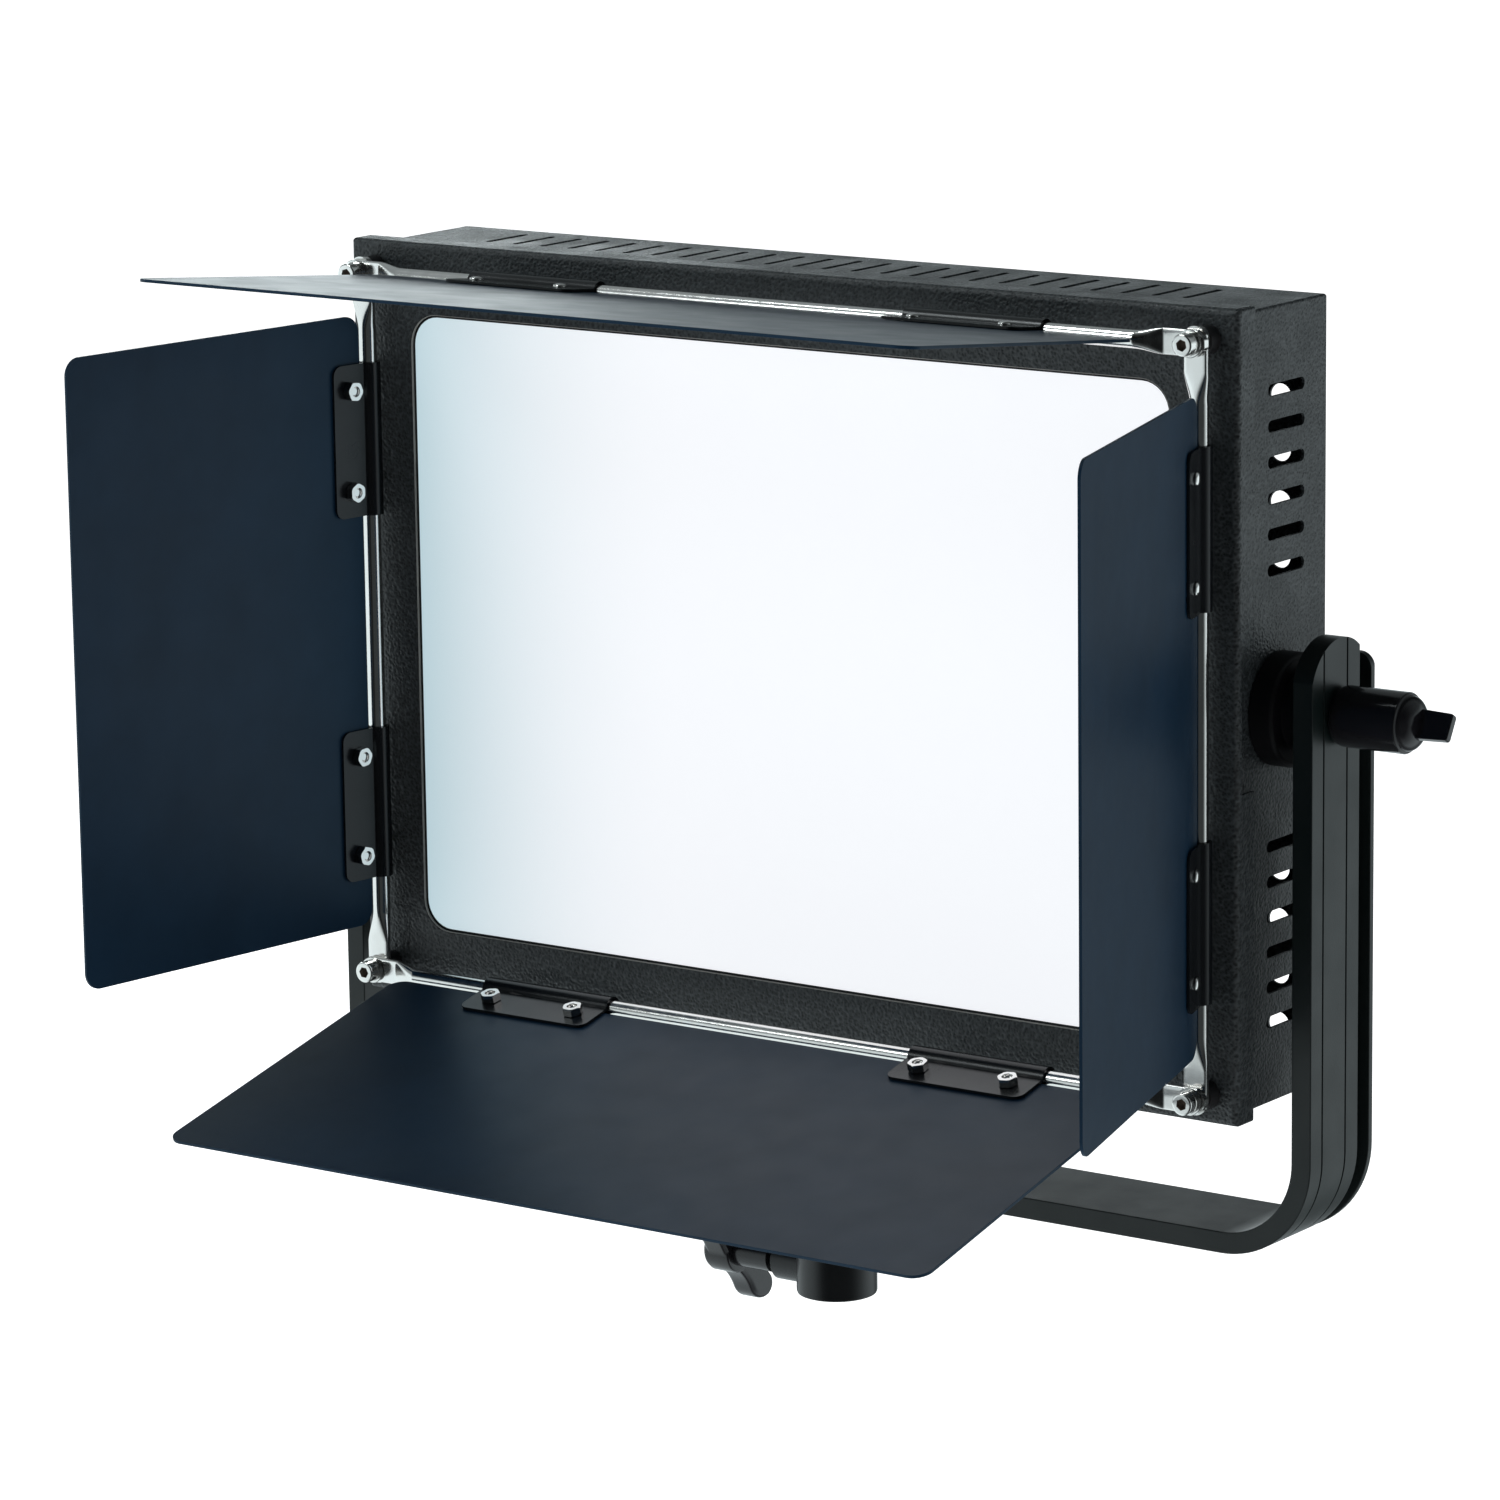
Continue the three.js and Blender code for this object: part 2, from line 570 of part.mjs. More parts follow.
const levelDoor = { length: 350, reach: 153, clipCentre: 101.6 };
const sideDoor = { length: 246, reach: 157, clipCentre: 73.5, shift: 1 };
const quarter = Math.PI / 2;
const doors = [
  {
    name: 'top_door', ...levelDoor, shift: -1,
    position: [0, levelRodY, boltZ], turn: 0, openDegrees: 6.1,
  },
  {
    name: 'bottom_door', ...levelDoor, shift: 1,
    position: [0, levelRodY, -boltZ], turn: Math.PI, openDegrees: 13,
  },
  {
    name: 'right_door', ...sideDoor,
    position: [boltX, sideRodY, 0], turn: quarter, openDegrees: 16.5,
  },
  {
    name: 'left_door', ...sideDoor,
    position: [-boltX, sideRodY, 0], turn: -quarter, openDegrees: 8,
  },
];
doors.forEach(addDoor);

// ---------------------------------------------------------------- yoke
// U outline in (x, z), open at the top; insets move its outer and inner lines towards the middle of the wall
function yokeOutline(outerInset, wall, top, topCorner) {
  const xo = yoke.inner + yoke.thickness - outerInset;
  const zo = yoke.underside + outerInset;
  const ro = yoke.bendOuter - outerInset;
  const xi = xo - wall;
  const zi = zo + wall;
  const ri = ro - wall;
  const outline = new THREE.Shape();
  outline.moveTo(xi, top);
  outline.lineTo(xi, zi + ri);
  outline.absarc(xi - ri, zi + ri, ri, 0, -Math.PI / 2, true);
  outline.lineTo(-xi + ri, zi);
  outline.absarc(-xi + ri, zi + ri, ri, -Math.PI / 2, -Math.PI, true);
  outline.lineTo(-xi, top);
  outline.absarc(-xo + topCorner, top - topCorner, topCorner, Math.PI / 2, Math.PI, false);
  outline.lineTo(-xo, zo + ro);
  outline.absarc(-xo + ro, zo + ro, ro, Math.PI, 1.5 * Math.PI, false);
  outline.lineTo(xo - ro, zo);
  outline.absarc(xo - ro, zo + ro, ro, -Math.PI / 2, 0, false);
  outline.absarc(xo - topCorner, top - topCorner, topCorner, 0, Math.PI / 2, false);
  return outline;
}

function yokeFrame() {
  const { front, rear } = yoke;
  const barEnd = front + yokeBar.width;
  const webEnd = barEnd + yokeWeb.width;
  const crownZ = pivotHeight + yokeBar.crownLift;
  const crownTop = crownZ + yokeBar.crownRadius;
  const reach = yoke.inner + yoke.thickness + 1;
  const bends = { curveSegments: 3 };
  const bar = extrudeAlongY(yokeOutline(0, yoke.thickness, crownTop + 2, 0.5), front, barEnd, bends);
  const crown = alongX(cylinder(yokeBar.crownRadius, -reach, reach, 32));
  const crownDisc = crown.translate(0, yokeBar.crownShift, crownZ);
  const overCrown = box(-reach, reach, front - 1, barEnd + 1, crownZ, crownTop + 10);
  const crownCutter = cut(overCrown, crownDisc);
  const grooves = groove.offsets.map((offset) => extrudeAlongY(
    yokeOutline(-0.5, 0.5 + groove.depth, crownTop + 10, 0.1),
    front + offset, front + offset + groove.width, bends,
  ));
  const webInset = yoke.thickness - yokeWeb.thickness;
  const webTop = pivotHeight + yokeWeb.topAbovePivot;
  const webOutline = yokeOutline(webInset, yokeWeb.thickness, webTop, 0.5);
  const web = extrudeAlongY(webOutline, barEnd - 1, webEnd + 1, bends);
  const flangeTop = pivotHeight + yokeFlange.topAbovePivot;
  const flangeOutline = yokeOutline(0, yoke.thickness, flangeTop, yokeFlange.cornerRadius);
  const flange = extrudeAlongY(flangeOutline, webEnd, rear, bends);
  const pivotHole = alongX(cylinder(pivotHoleRadius, -reach, reach, 12)).translate(0, 0, pivotHeight);
  const spigotHole = cylinder(6.3, yoke.underside - 5, yoke.underside + 15, 14);
  return cut(join(cut(bar, crownCutter, ...grooves), web, flange), pivotHole, spigotHole);
}

// socket for a 16 mm stand stud, its spigot headed over above the yoke, with a boss for the clamp screw
function standReceiver() {
  const chamfer = 0.8;
  const { radius, height, boreRadius, boreDepth } = receiver;
  const barTop = yoke.underside + yoke.thickness + gap;
  const body = turned([
    [0, boreDepth], [boreRadius, boreDepth], [boreRadius, chamfer], [boreRadius + chamfer, 0],
    [radius - chamfer, 0], [radius, chamfer], [radius, height - chamfer], [radius - chamfer, height],
    [6, height], [6, barTop], [10, barTop], [10, barTop + 2.5], [9, barTop + 3], [0, barTop + 3],
  ], 20);
  const { z, bossRadius, bossEnd } = clampAxis;
  const boss = alongX(cylinder(bossRadius, -bossEnd, -boreRadius - 2, 14)).translate(0, 0, z);
  const thread = alongX(cylinder(4.3, -bossEnd - 1, -boreRadius + 2, 10)).translate(0, 0, z);
  return cut(join(body, boss), thread);
}

// one half of an S-shaped two-wing grip, drawn in (y, z)
function gripWing() {
  const wing = new THREE.Shape();
  wing.moveTo(-5, -5);
  wing.bezierCurveTo(2, -11, 5, -13, 8, -19);
  wing.bezierCurveTo(10, -23, 15, -25, 19, -23.5);
  wing.bezierCurveTo(23, -21.5, 23, -17, 20.5, -14.5);
  wing.bezierCurveTo(16, -10, 13, -6, 7, 5);
  return wing;
}

function receiverKnob() {
  const { z, knobFrom, knobTo } = clampAxis;
  const wing = extrudeAlongX(gripWing(), -knobTo + 1, -knobFrom, { curveSegments: 4 });
  const oppositeWing = wing.clone().rotateX(Math.PI);
  const hub = alongX(turned([
    [0, -knobTo - 1], [8, -knobTo - 1], [9.5, -knobTo + 1], [9.5, -knobFrom], [0, -knobFrom],
  ], 24));
  const stem = alongX(cylinder(studRadius, -knobFrom - 2, -receiver.boreRadius - 0.4, 14));
  const collar = alongX(cylinder(clampAxis.collarRadius, -knobFrom - 2, -clampAxis.collarFrom, 18));
  return join(hub, wing, oppositeWing, collar, stem).translate(0, 0, z);
}

// domed clamp knob with a flat tab, its stud running through the arm and the friction disc
function tiltKnob() {
  const base = yoke.inner + yoke.thickness + gap;
  const dome = base + 28.6;
  const body = turned([
    [0, housingSide - 6], [studRadius, housingSide - 6], [studRadius, base], [9.8, base], [10.9, base + 1.4],
    [11.5, base + 3.5], [11.5, dome], [10.4, dome + 1], [8, dome + 3.6], [4.5, dome + 5.3], [0, dome + 5.9],
  ], 20);
  const tab = box(dome, dome + 18, -6, 6, -1.6, 1.6);
  const tabTilt = 1.05;
  return join(alongX(body), tab.rotateX(tabTilt));
}

function leftPivotBolt() {
  const base = yoke.inner + yoke.thickness + gap;
  const body = turned([
    [0, housingSide - 6], [studRadius, housingSide - 6], [studRadius, base], [11, base], [11, base + 1.6],
    [7.4, base + 1.6], [7.4, base + 7], [6.6, base + 8], [0, base + 8],
  ], 14);
  return body.rotateY(-Math.PI / 2);
}

addPart(lamp, 'yoke', yokeFrame(), satinBlack);
addPart(lamp, 'stand_receiver', standReceiver(), satinBlack);
addPart(lamp, 'receiver_knob', receiverKnob(), satinBlack);
addPart(lamp, 'tilt_knob', tiltKnob(), plasticBlack).position.set(0, 0, pivotHeight);
addPart(lamp, 'left_pivot_bolt', leftPivotBolt(), satinBlack).position.set(0, 0, pivotHeight);

export default lamp;
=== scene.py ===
import json
import math

import bmesh
import bpy
from mathutils import Matrix, Vector


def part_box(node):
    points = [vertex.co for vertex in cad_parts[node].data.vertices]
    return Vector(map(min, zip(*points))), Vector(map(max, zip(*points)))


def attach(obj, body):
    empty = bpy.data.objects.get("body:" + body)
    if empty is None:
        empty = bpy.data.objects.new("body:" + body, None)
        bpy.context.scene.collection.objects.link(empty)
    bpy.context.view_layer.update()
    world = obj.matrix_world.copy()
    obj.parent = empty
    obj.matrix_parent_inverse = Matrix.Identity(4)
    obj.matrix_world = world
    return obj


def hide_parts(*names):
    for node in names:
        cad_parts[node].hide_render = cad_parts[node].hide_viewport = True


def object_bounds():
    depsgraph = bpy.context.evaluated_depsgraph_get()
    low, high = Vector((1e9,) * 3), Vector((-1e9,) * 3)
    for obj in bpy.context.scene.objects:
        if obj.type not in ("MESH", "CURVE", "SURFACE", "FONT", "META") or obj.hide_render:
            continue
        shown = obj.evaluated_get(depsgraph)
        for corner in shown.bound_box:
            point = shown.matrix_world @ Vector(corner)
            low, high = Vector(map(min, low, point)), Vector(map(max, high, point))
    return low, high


# LED panel light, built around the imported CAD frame. Lengths are millimetres until piece() turns them into
# metres. +Z is up and the lamp shines along -Y.
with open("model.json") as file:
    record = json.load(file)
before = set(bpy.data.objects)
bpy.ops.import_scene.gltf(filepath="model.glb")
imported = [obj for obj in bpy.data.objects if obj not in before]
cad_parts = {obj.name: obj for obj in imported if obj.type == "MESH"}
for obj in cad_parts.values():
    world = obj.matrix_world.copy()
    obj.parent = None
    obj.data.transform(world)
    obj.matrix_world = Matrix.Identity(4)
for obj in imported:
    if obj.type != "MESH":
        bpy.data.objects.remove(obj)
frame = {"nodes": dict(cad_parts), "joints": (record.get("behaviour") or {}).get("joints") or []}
cad_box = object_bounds()
MM = 0.001

# ---- places taken from the frame
JOINTS = {joint["name"]: joint for joint in frame["joints"]}


def joint_place(name):
    return Vector(JOINTS[name]["pos_m"]) / MM


def node_box(node):
    low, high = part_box(node)
    return low / MM, high / MM


pivot = joint_place("head_tilt")
bezel_low, bezel_high = node_box("front_bezel")
housing_low, housing_high = node_box("rear_housing")
yoke_high = node_box("yoke")[1]
front = bezel_low.y
back = housing_high.y

# ---- driving dimensions
SHEET = 1.2                       # folded steel
BEND = 2.5
FOLD_CORNER = 1.2                 # corner radius seen along the folds
WINDOW = {"width": 351.5, "height": 249, "radius": 12.5}
NOTCH = {"half": 27, "start": 3}
CORNER_SEAM = {"offset": 1.5, "width": 0.7, "depth": 2.4}
SIDE_SLOTS = {"count": 6, "first": 52, "pitch": 13.4, "length": 26, "height": 4.6, "y": 6}
TOP_SLOTS = {"count": 25, "pitch": 13.5, "length": 26, "width": 3, "y": 11}
BACK_VENTS = {"count": 5, "pitch": 20.2, "radius": 4.6, "first": 49.7, "x": 181}
BOLT = {"x": 192.5, "z": 141}
ROD = {"radius": 3.45, "half_width": 4.9, "half_thickness": 1.3, "beyond": 6, "flat": 16, "flare": 12,
       "hole": 2.75}
LEAF = {"start": 5.5, "thickness": 1.2, "corner": 7}
CLIP = {"length": 61, "inner": 3.75, "thickness": 1, "tab_end": 20.5, "corner": 4}
SCREW = {"spacing": 40.4, "reach": 12, "hole": 2.1}
LEVEL_DOOR = {"length": 350, "reach": 153, "clip_centre": 101.6}
SIDE_DOOR = {"length": 246, "reach": 157, "clip_centre": 73.5}
DOORS = {
    "top_door": {"turn": 0, "open": 6.1, "shift": -1, **LEVEL_DOOR},
    "bottom_door": {"turn": 180, "open": 13, "shift": 1, **LEVEL_DOOR},
    "right_door": {"turn": 90, "open": 16.5, "shift": 1, **SIDE_DOOR},
    "left_door": {"turn": -90, "open": 8, "shift": 1, **SIDE_DOOR},
}
YOKE = {"inner": 219.5, "wall": 8.4, "underside": 50.1, "outer_bend": 38.9, "front": -20, "bar_end": 14.5,
        "web_end": 22.5, "web_wall": 2, "rear": 25.5}
GROOVE = {"offsets": (8, 24.8), "width": 0.8, "depth": 0.6}
CROWN = {"radius": 21.5, "lift": 7.5, "shift": 0.5, "web_top": 17, "flange_top": 19.5, "flange_corner": 6}
PIVOT_HOLE = 4.4
RECEIVER = {"radius": 16, "height": 49.8, "bore": 8.25, "bore_depth": 42}
CLAMP = {"z": 10, "boss": 8.5, "boss_end": 27, "collar": 6.5, "collar_from": 30,
         "knob_from": 46, "knob_to": 58}
CONTROL_Z = -95
CONTROL_X = {"dimmer": -88, "colour": -44, "switch": 12, "inlet": 74}
PLATE = {"width": 240, "height": 56, "thickness": 2}
GAP = 0.3
DISC = {"radius": 21.5, "thickness": 10, "hub": 15, "bore": 4.4}
TILT_KNOB = {"radius": 11.5, "base_radius": 9.8, "length": 28.6, "dome": 5.5, "tab_length": 18,
             "tab_turn": 1.05}
NUT = {"across_flats": 7, "height": 3.2}
CONTROL_HOLES = {"shaft": 3.4, "switch": (11, 7.3), "inlet": (14, 10)}
KNOB_FLUTES = 18
DIAL = {"marks": 11, "first": 135, "step": 27}
PLATE_SCREW_INSET = 7
SMOOTH_ANGLE = 32                 # degrees; sharper folds stay crisp

# ---- mesh building
TURN = 2 * math.pi


def axes(x, y, z):
    return Matrix((x, y, z)).transposed().to_4x4()


DRAWN_YZ = axes((0, 1, 0), (0, 0, 1), (1, 0, 0))      # outline in (y, z), depth along X
DRAWN_XZ = axes((1, 0, 0), (0, 0, 1), (0, -1, 0))     # outline in (x, z), depth along -Y
Z_TO_X = axes((0, 0, -1), (0, 1, 0), (1, 0, 0))
Z_TO_LEFT = axes((0, 0, 1), (0, 1, 0), (-1, 0, 0))
Z_TO_BACK = axes((1, 0, 0), (0, 0, -1), (0, 1, 0))
Z_TO_FRONT = axes((1, 0, 0), (0, 0, 1), (0, -1, 0))


def at(x, y, z):
    return Matrix.Translation((x, y, z))


def spin(degrees, axis):
    return Matrix.Rotation(math.radians(degrees), 4, axis)


def placed(bm, *matrices):
    for matrix in matrices:
        bm.transform(matrix)
    return bm


def arc(x, y, radius, start, end, steps):
    """Points along an arc, its angles in degrees."""
    angles = [math.radians(start + (end - start) * k / steps) for k in range(steps + 1)]
    return [(x + radius * math.cos(a), y + radius * math.sin(a)) for a in angles]


def rounded_rectangle(width, height, radius, x=0, y=0, steps=8):
    half_x, half_y = width / 2 - radius, height / 2 - radius
    corners = [(half_x, half_y, 0), (-half_x, half_y, 90), (-half_x, -half_y, 180), (half_x, -half_y, 270)]
    points = []
    for corner_x, corner_y, angle in corners:
        points += arc(x + corner_x, y + corner_y, radius, angle, angle + 90, steps)
    return points


def skin(rings, close_rings=False):
    """Solid through rings of points that all have the same count."""
    bm = bmesh.new()
    made = [[bm.verts.new(point) for point in ring] for ring in rings]
    pairs = list(zip(made, made[1:]))
    if close_rings:
        pairs.append((made[-1], made[0]))
    count = len(made[0])
    for low, high in pairs:
        for k in range(count):
            n = (k + 1) % count
            bm.faces.new((low[k], low[n], high[n], high[k]))
    if not close_rings:
        bm.faces.new(made[0][::-1])
        bm.faces.new(made[-1])
    bmesh.ops.recalc_face_normals(bm, faces=bm.faces)
    return bm


def prism(outline, low, high):
    return skin([[(x, y, low) for x, y in outline], [(x, y, high) for x, y in outline]])


def along_x(outline, start, end):
    return placed(prism(outline, start, end), DRAWN_YZ)


def along_y(outline, start, end):
    return placed(prism(outline, -end, -start), DRAWN_XZ)


def block(x0, x1, y0, y1, z0, z1):
    return prism([(x0, y0), (x1, y0), (x1, y1), (x0, y1)], z0, z1)


def lathe(profile, segments=48):
    """Solid turned about Z: (radius, height) pairs from axis to axis, or a closed ring off the axis."""
    bm = bmesh.new()
    rings = []
    for radius, height in profile:
        count = 1 if radius < 1e-6 else segments
        angles = [TURN * k / segments for k in range(count)]
        rings.append([bm.verts.new((radius * math.cos(a), radius * math.sin(a), height)) for a in angles])
    pairs = list(zip(rings, rings[1:]))
    if profile[0][0] > 1e-6:
        pairs.append((rings[-1], rings[0]))
    for low, high in pairs:
        for k in range(segments):
            n = (k + 1) % segments
            corners = (low[k % len(low)], low[n % len(low)], high[n % len(high)], high[k % len(high)])
            face = list(dict.fromkeys(corners))
            if len(face) > 2:
                bm.faces.new(face)
    bmesh.ops.recalc_face_normals(bm, faces=bm.faces)
    return bm


def cylinder(radius, low, high, segments=48):
    return lathe([(0, low), (radius, low), (radius, high), (0, high)], segments)


def hexagon(across_flats, low, high):
    return cylinder(across_flats / math.sqrt(3), low, high, 6)


def filleted(points, radius, steps=4):
    """Outline with each corner rounded by up to radius."""
    count = len(points)
    rounded = []
    for k, point in enumerate(points):
        corner = Vector(point)
        before = Vector(points[k - 1]) - corner
        after = Vector(points[(k + 1) % count]) - corner
        reach = min(radius, before.length * 0.45, after.length * 0.45)
        start, end = corner + before.normalized() * reach, corner + after.normalized() * reach
        for step in range(steps + 1):
            t = step / steps
            rounded.append(tuple((1 - t) ** 2 * start + 2 * t * (1 - t) * corner + t * t * end))
    return rounded


def together(*parts):
    """One mesh of several solids that don't touch."""
    whole = bmesh.new()
    for part in parts:
        mesh = bpy.data.meshes.new("part")
        part.to_mesh(mesh)
        part.free()
        whole.from_mesh(mesh)
        bpy.data.meshes.remove(mesh)
    return whole


def new_object(name, data):
    obj = bpy.data.objects.new(name, data)
    bpy.context.scene.collection.objects.link(obj)
    return obj


def bare_object(name, bm):
    mesh = bpy.data.meshes.new(name)
    bm.to_mesh(mesh)
    bm.free()
    return new_object(name, mesh)


def boolean(operation, base, *tools):
    body = bare_object("boolean_base", base)
    helpers = [bare_object("boolean_tool", tool) for tool in tools]
    for helper in helpers:
        modifier = body.modifiers.new("boolean", "BOOLEAN")
        modifier.operation = operation
        modifier.solver = "MANIFOLD"
        modifier.object = helper
    depsgraph = bpy.context.evaluated_depsgraph_get()
    result = bmesh.new()
    result.from_object(body, depsgraph)
    for obj in [body, *helpers]:
        mesh = obj.data
        bpy.data.objects.remove(obj)
        bpy.data.meshes.remove(mesh)
    bmesh.ops.remove_doubles(result, verts=result.verts, dist=1e-4)
    return result


def cut(base, *tools):
    return boolean("DIFFERENCE", base, *tools)


def join(base, *others):
    return boolean("UNION", base, *others)


def softened(bm, width, segments=2, angle=40, where=lambda point: True):
    """Rounds the sharp edges whose middle passes the test."""
    limit = math.radians(angle)
    edges = [
        edge for edge in bm.edges
        if edge.is_manifold and edge.calc_face_angle() > limit
        and where((edge.verts[0].co + edge.verts[1].co) / 2)
    ]
    bmesh.ops.bevel(bm, geom=edges, offset=width, segments=segments, profile=0.5, affect="EDGES",
                    clamp_overlap=True)
    return bm


def piece(name, bm, body, material, replaces=()):
    """A finished piece of the object: metres, shaded, riding on its body."""
    bmesh.ops.scale(bm, vec=(MM, MM, MM), verts=bm.verts)
    bmesh.ops.dissolve_degenerate(bm, dist=1e-7, edges=bm.edges)
    bmesh.ops.recalc_face_normals(bm, faces=bm.faces)
    obj = bare_object(name, bm)
    for polygon in obj.data.polygons:
        polygon.use_smooth = True
    obj.data.set_sharp_from_angle(angle=math.radians(SMOOTH_ANGLE))
    weighted = obj.modifiers.new("weighted_normals", "WEIGHTED_NORMAL")
    weighted.keep_sharp = True
    obj.data.materials.append(material)
    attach(obj, body)
    if replaces:
        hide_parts(*replaces)
    return obj


def rebuilt(node, bm, body, material):
    """The finished piece that takes the place of one CAD node."""
    piece(f"look_{node}", bm, body, material, [node])


# ---- materials
class Nodes:
    """A short way to add and link shader nodes."""

    def __init__(self, tree):
        self.tree = tree
        tree.nodes.clear()

    def feed(self, socket, value):
        if isinstance(value, bpy.types.NodeSocket):
            self.tree.links.new(value, socket)
        else:
            socket.default_value = value

    def add(self, kind, settings=None, **inputs):
        node = self.tree.nodes.new(kind)
        for key, value in (settings or {}).items():
            setattr(node, key, value)
        for key, value in inputs.items():
            self.feed(node.inputs[key.replace("_", " ")], value)
        return node

    def place(self):
        return self.add("ShaderNodeTexCoord").outputs["Object"]

    def noise(self, scale, detail=3.0, roughness=0.5, vector=None):
        node = self.add("ShaderNodeTexNoise", Scale=scale, Detail=detail, Roughness=roughness,
                        Vector=vector or self.place())
        return node.outputs["Fac"]

    def spread(self, value, low, high, start=0.3, end=0.7):
        """value from start..end mapped to low..high."""
        node = self.add("ShaderNodeMapRange", Value=value, From_Min=start, From_Max=end,
                        To_Min=low, To_Max=high)
        return node.outputs["Result"]

    def maths(self, operation, *values):
        node = self.add("ShaderNodeMath", {"operation": operation})
        for socket, value in zip(node.inputs, values):
            self.feed(socket, value)
        return node.outputs["Value"]

    def colours(self, factor, first, second):
        node = self.add("ShaderNodeMix", {"data_type": "RGBA"})
        self.feed(node.inputs[0], factor)
        self.feed(node.inputs[6], (*first, 1))
        self.feed(node.inputs[7], (*second, 1))
        return node.outputs[2]

    def bump(self, height, distance):
        node = self.add("ShaderNodeBump", Height=height, Distance=distance, Strength=1.0)
        return node.outputs["Normal"]

    def surface(self, **inputs):
        shader = self.add("ShaderNodeBsdfPrincipled", **inputs)
        output = self.add("ShaderNodeOutputMaterial")
        self.feed(output.inputs["Surface"], shader.outputs["BSDF"])
        return shader


def new_material(name):
    material = bpy.data.materials.new(name)
    material.use_nodes = True
    return material, Nodes(material.node_tree)


def crinkle_paint(name, first, second, cell=0.9, depth=0.1, rough=(0.34, 0.5)):
    """Powder coat with a leather-like grain; cell and depth in millimetres."""
    material, nodes = new_material(name)
    scale = 1 / (cell * MM)
    place = nodes.place()
    wobble = nodes.add("ShaderNodeTexNoise", Scale=scale * 0.6, Vector=place).outputs["Color"]
    bent = nodes.add("ShaderNodeMix", {"data_type": "VECTOR"})
    bent.inputs[0].default_value = 0.0006
    nodes.feed(bent.inputs[4], place)
    nodes.feed(bent.inputs[5], wobble)
    cells = nodes.add("ShaderNodeTexVoronoi", {"feature": "SMOOTH_F1"}, Scale=scale, Vector=bent.outputs[1])
    grain = nodes.noise(scale * 2.2, 2)
    height = nodes.maths("MULTIPLY_ADD", grain, 0.35, cells.outputs["Distance"])
    patch = nodes.noise(45, 4)
    nodes.surface(
        Base_Color=nodes.colours(nodes.spread(cells.outputs["Distance"], 0, 1, 0.1, 0.7), first, second),
        Roughness=nodes.spread(patch, *rough),
        Normal=nodes.bump(height, depth * MM),
    )
    return material


def smooth_paint(name, first, second, rough, grain=0.35, depth=0.012, specular=0.5, tint=(1, 1, 1)):
    """Fine matt or satin coat with a faint grain and slow changes of tone."""
    material, nodes = new_material(name)
    tone = nodes.noise(28, 5, 0.6)
    speck = nodes.noise(1 / (grain * MM), 3)
    nodes.surface(
        Base_Color=nodes.colours(nodes.spread(tone, 0, 1), first, second),
        Roughness=nodes.spread(nodes.noise(60, 4), *rough),
        Normal=nodes.bump(speck, depth * MM),
        Specular_IOR_Level=specular,
        Specular_Tint=(*tint, 1),
    )
    return material


def plated_metal(name, first, second, rough, scratch=0.006):
    """Bright plated steel with faint turning marks and clouding."""
    material, nodes = new_material(name)
    nodes.surface(
        Base_Color=nodes.colours(nodes.spread(nodes.noise(90, 4), 0, 1), first, second),
        Roughness=nodes.spread(nodes.noise(350, 5), *rough),
        Normal=nodes.bump(nodes.noise(2600, 4, 0.7), scratch * MM),
        Metallic=1.0,
    )
    return material


def glowing_diffuser(name):
    """Opal sheet that glows: white in the middle and right, cooler and dimmer towards its left."""
    material, nodes = new_material(name)
    split = nodes.add("ShaderNodeSeparateXYZ", Vector=nodes.place())
    across = nodes.spread(split.outputs["X"], 0, 1, -0.176, -0.04)
    fall = nodes.maths("SUBTRACT", 1.0, across)
    smooth = nodes.maths("SUBTRACT", 1.0, nodes.maths("MULTIPLY", fall, fall))
    mottling = nodes.spread(nodes.noise(1400, 2), -0.012, 0.012)
    glow = nodes.colours(nodes.maths("ADD", smooth, mottling), (0.41, 0.55, 0.60), (0.80, 0.81, 0.84))
    nodes.surface(
        Base_Color=nodes.colours(nodes.noise(30, 3), (0.24, 0.26, 0.27), (0.26, 0.28, 0.29)),
        Roughness=nodes.spread(nodes.noise(200, 3), 0.42, 0.55),
        Normal=nodes.bump(nodes.noise(2400, 2), 0.02 * MM),
        Emission_Color=glow,
        Emission_Strength=1.0,
    )
    return material


def led_board_material(name):
    """White solder mask with the warm and cool chips standing proud of it."""
    material, nodes = new_material(name)
    depth = nodes.add("ShaderNodeSeparateXYZ", Vector=nodes.place()).outputs["Y"]
    chip_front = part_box("led_board")[0].y
    chip = nodes.spread(depth, 1, 0, chip_front + 0.2 * MM, chip_front + 0.5 * MM)
    nodes.surface(
        Base_Color=nodes.colours(chip, (0.80, 0.81, 0.78), (0.85, 0.62, 0.10)),
        Roughness=nodes.spread(nodes.noise(300, 3), 0.35, 0.5),
        Normal=nodes.bump(nodes.noise(1800, 2), 0.02 * MM),
    )
    return material


crinkle_black = crinkle_paint("crinkle_black", (0.005, 0.007, 0.008), (0.040, 0.048, 0.052),
                              cell=1.2, depth=0.42)
leaf_black = smooth_paint("leaf_black", (0.004, 0.017, 0.037), (0.006, 0.023, 0.049), (0.36, 0.42),
                          specular=0.2, tint=(0.72, 0.90, 1.0))
clip_black = smooth_paint("clip_black", (0.003, 0.004, 0.005), (0.005, 0.006, 0.008),
                          (0.2, 0.28), depth=0.02, specular=0.4)
yoke_black = smooth_paint("yoke_black", (0.004, 0.008, 0.008), (0.008, 0.012, 0.012),
                          (0.34, 0.42), 0.5, 0.05, specular=0.42)
receiver_black = smooth_paint("receiver_black", (0.003, 0.004, 0.005), (0.005, 0.006, 0.007),
                              (0.26, 0.34), 0.5, 0.03)
knob_black = smooth_paint("knob_black", (0.005, 0.005, 0.006), (0.009, 0.009, 0.011), (0.10, 0.2), 0.6, 0.03)
plastic_black = smooth_paint("plastic_black", (0.008, 0.008, 0.009), (0.013, 0.013, 0.014), (0.28, 0.4))
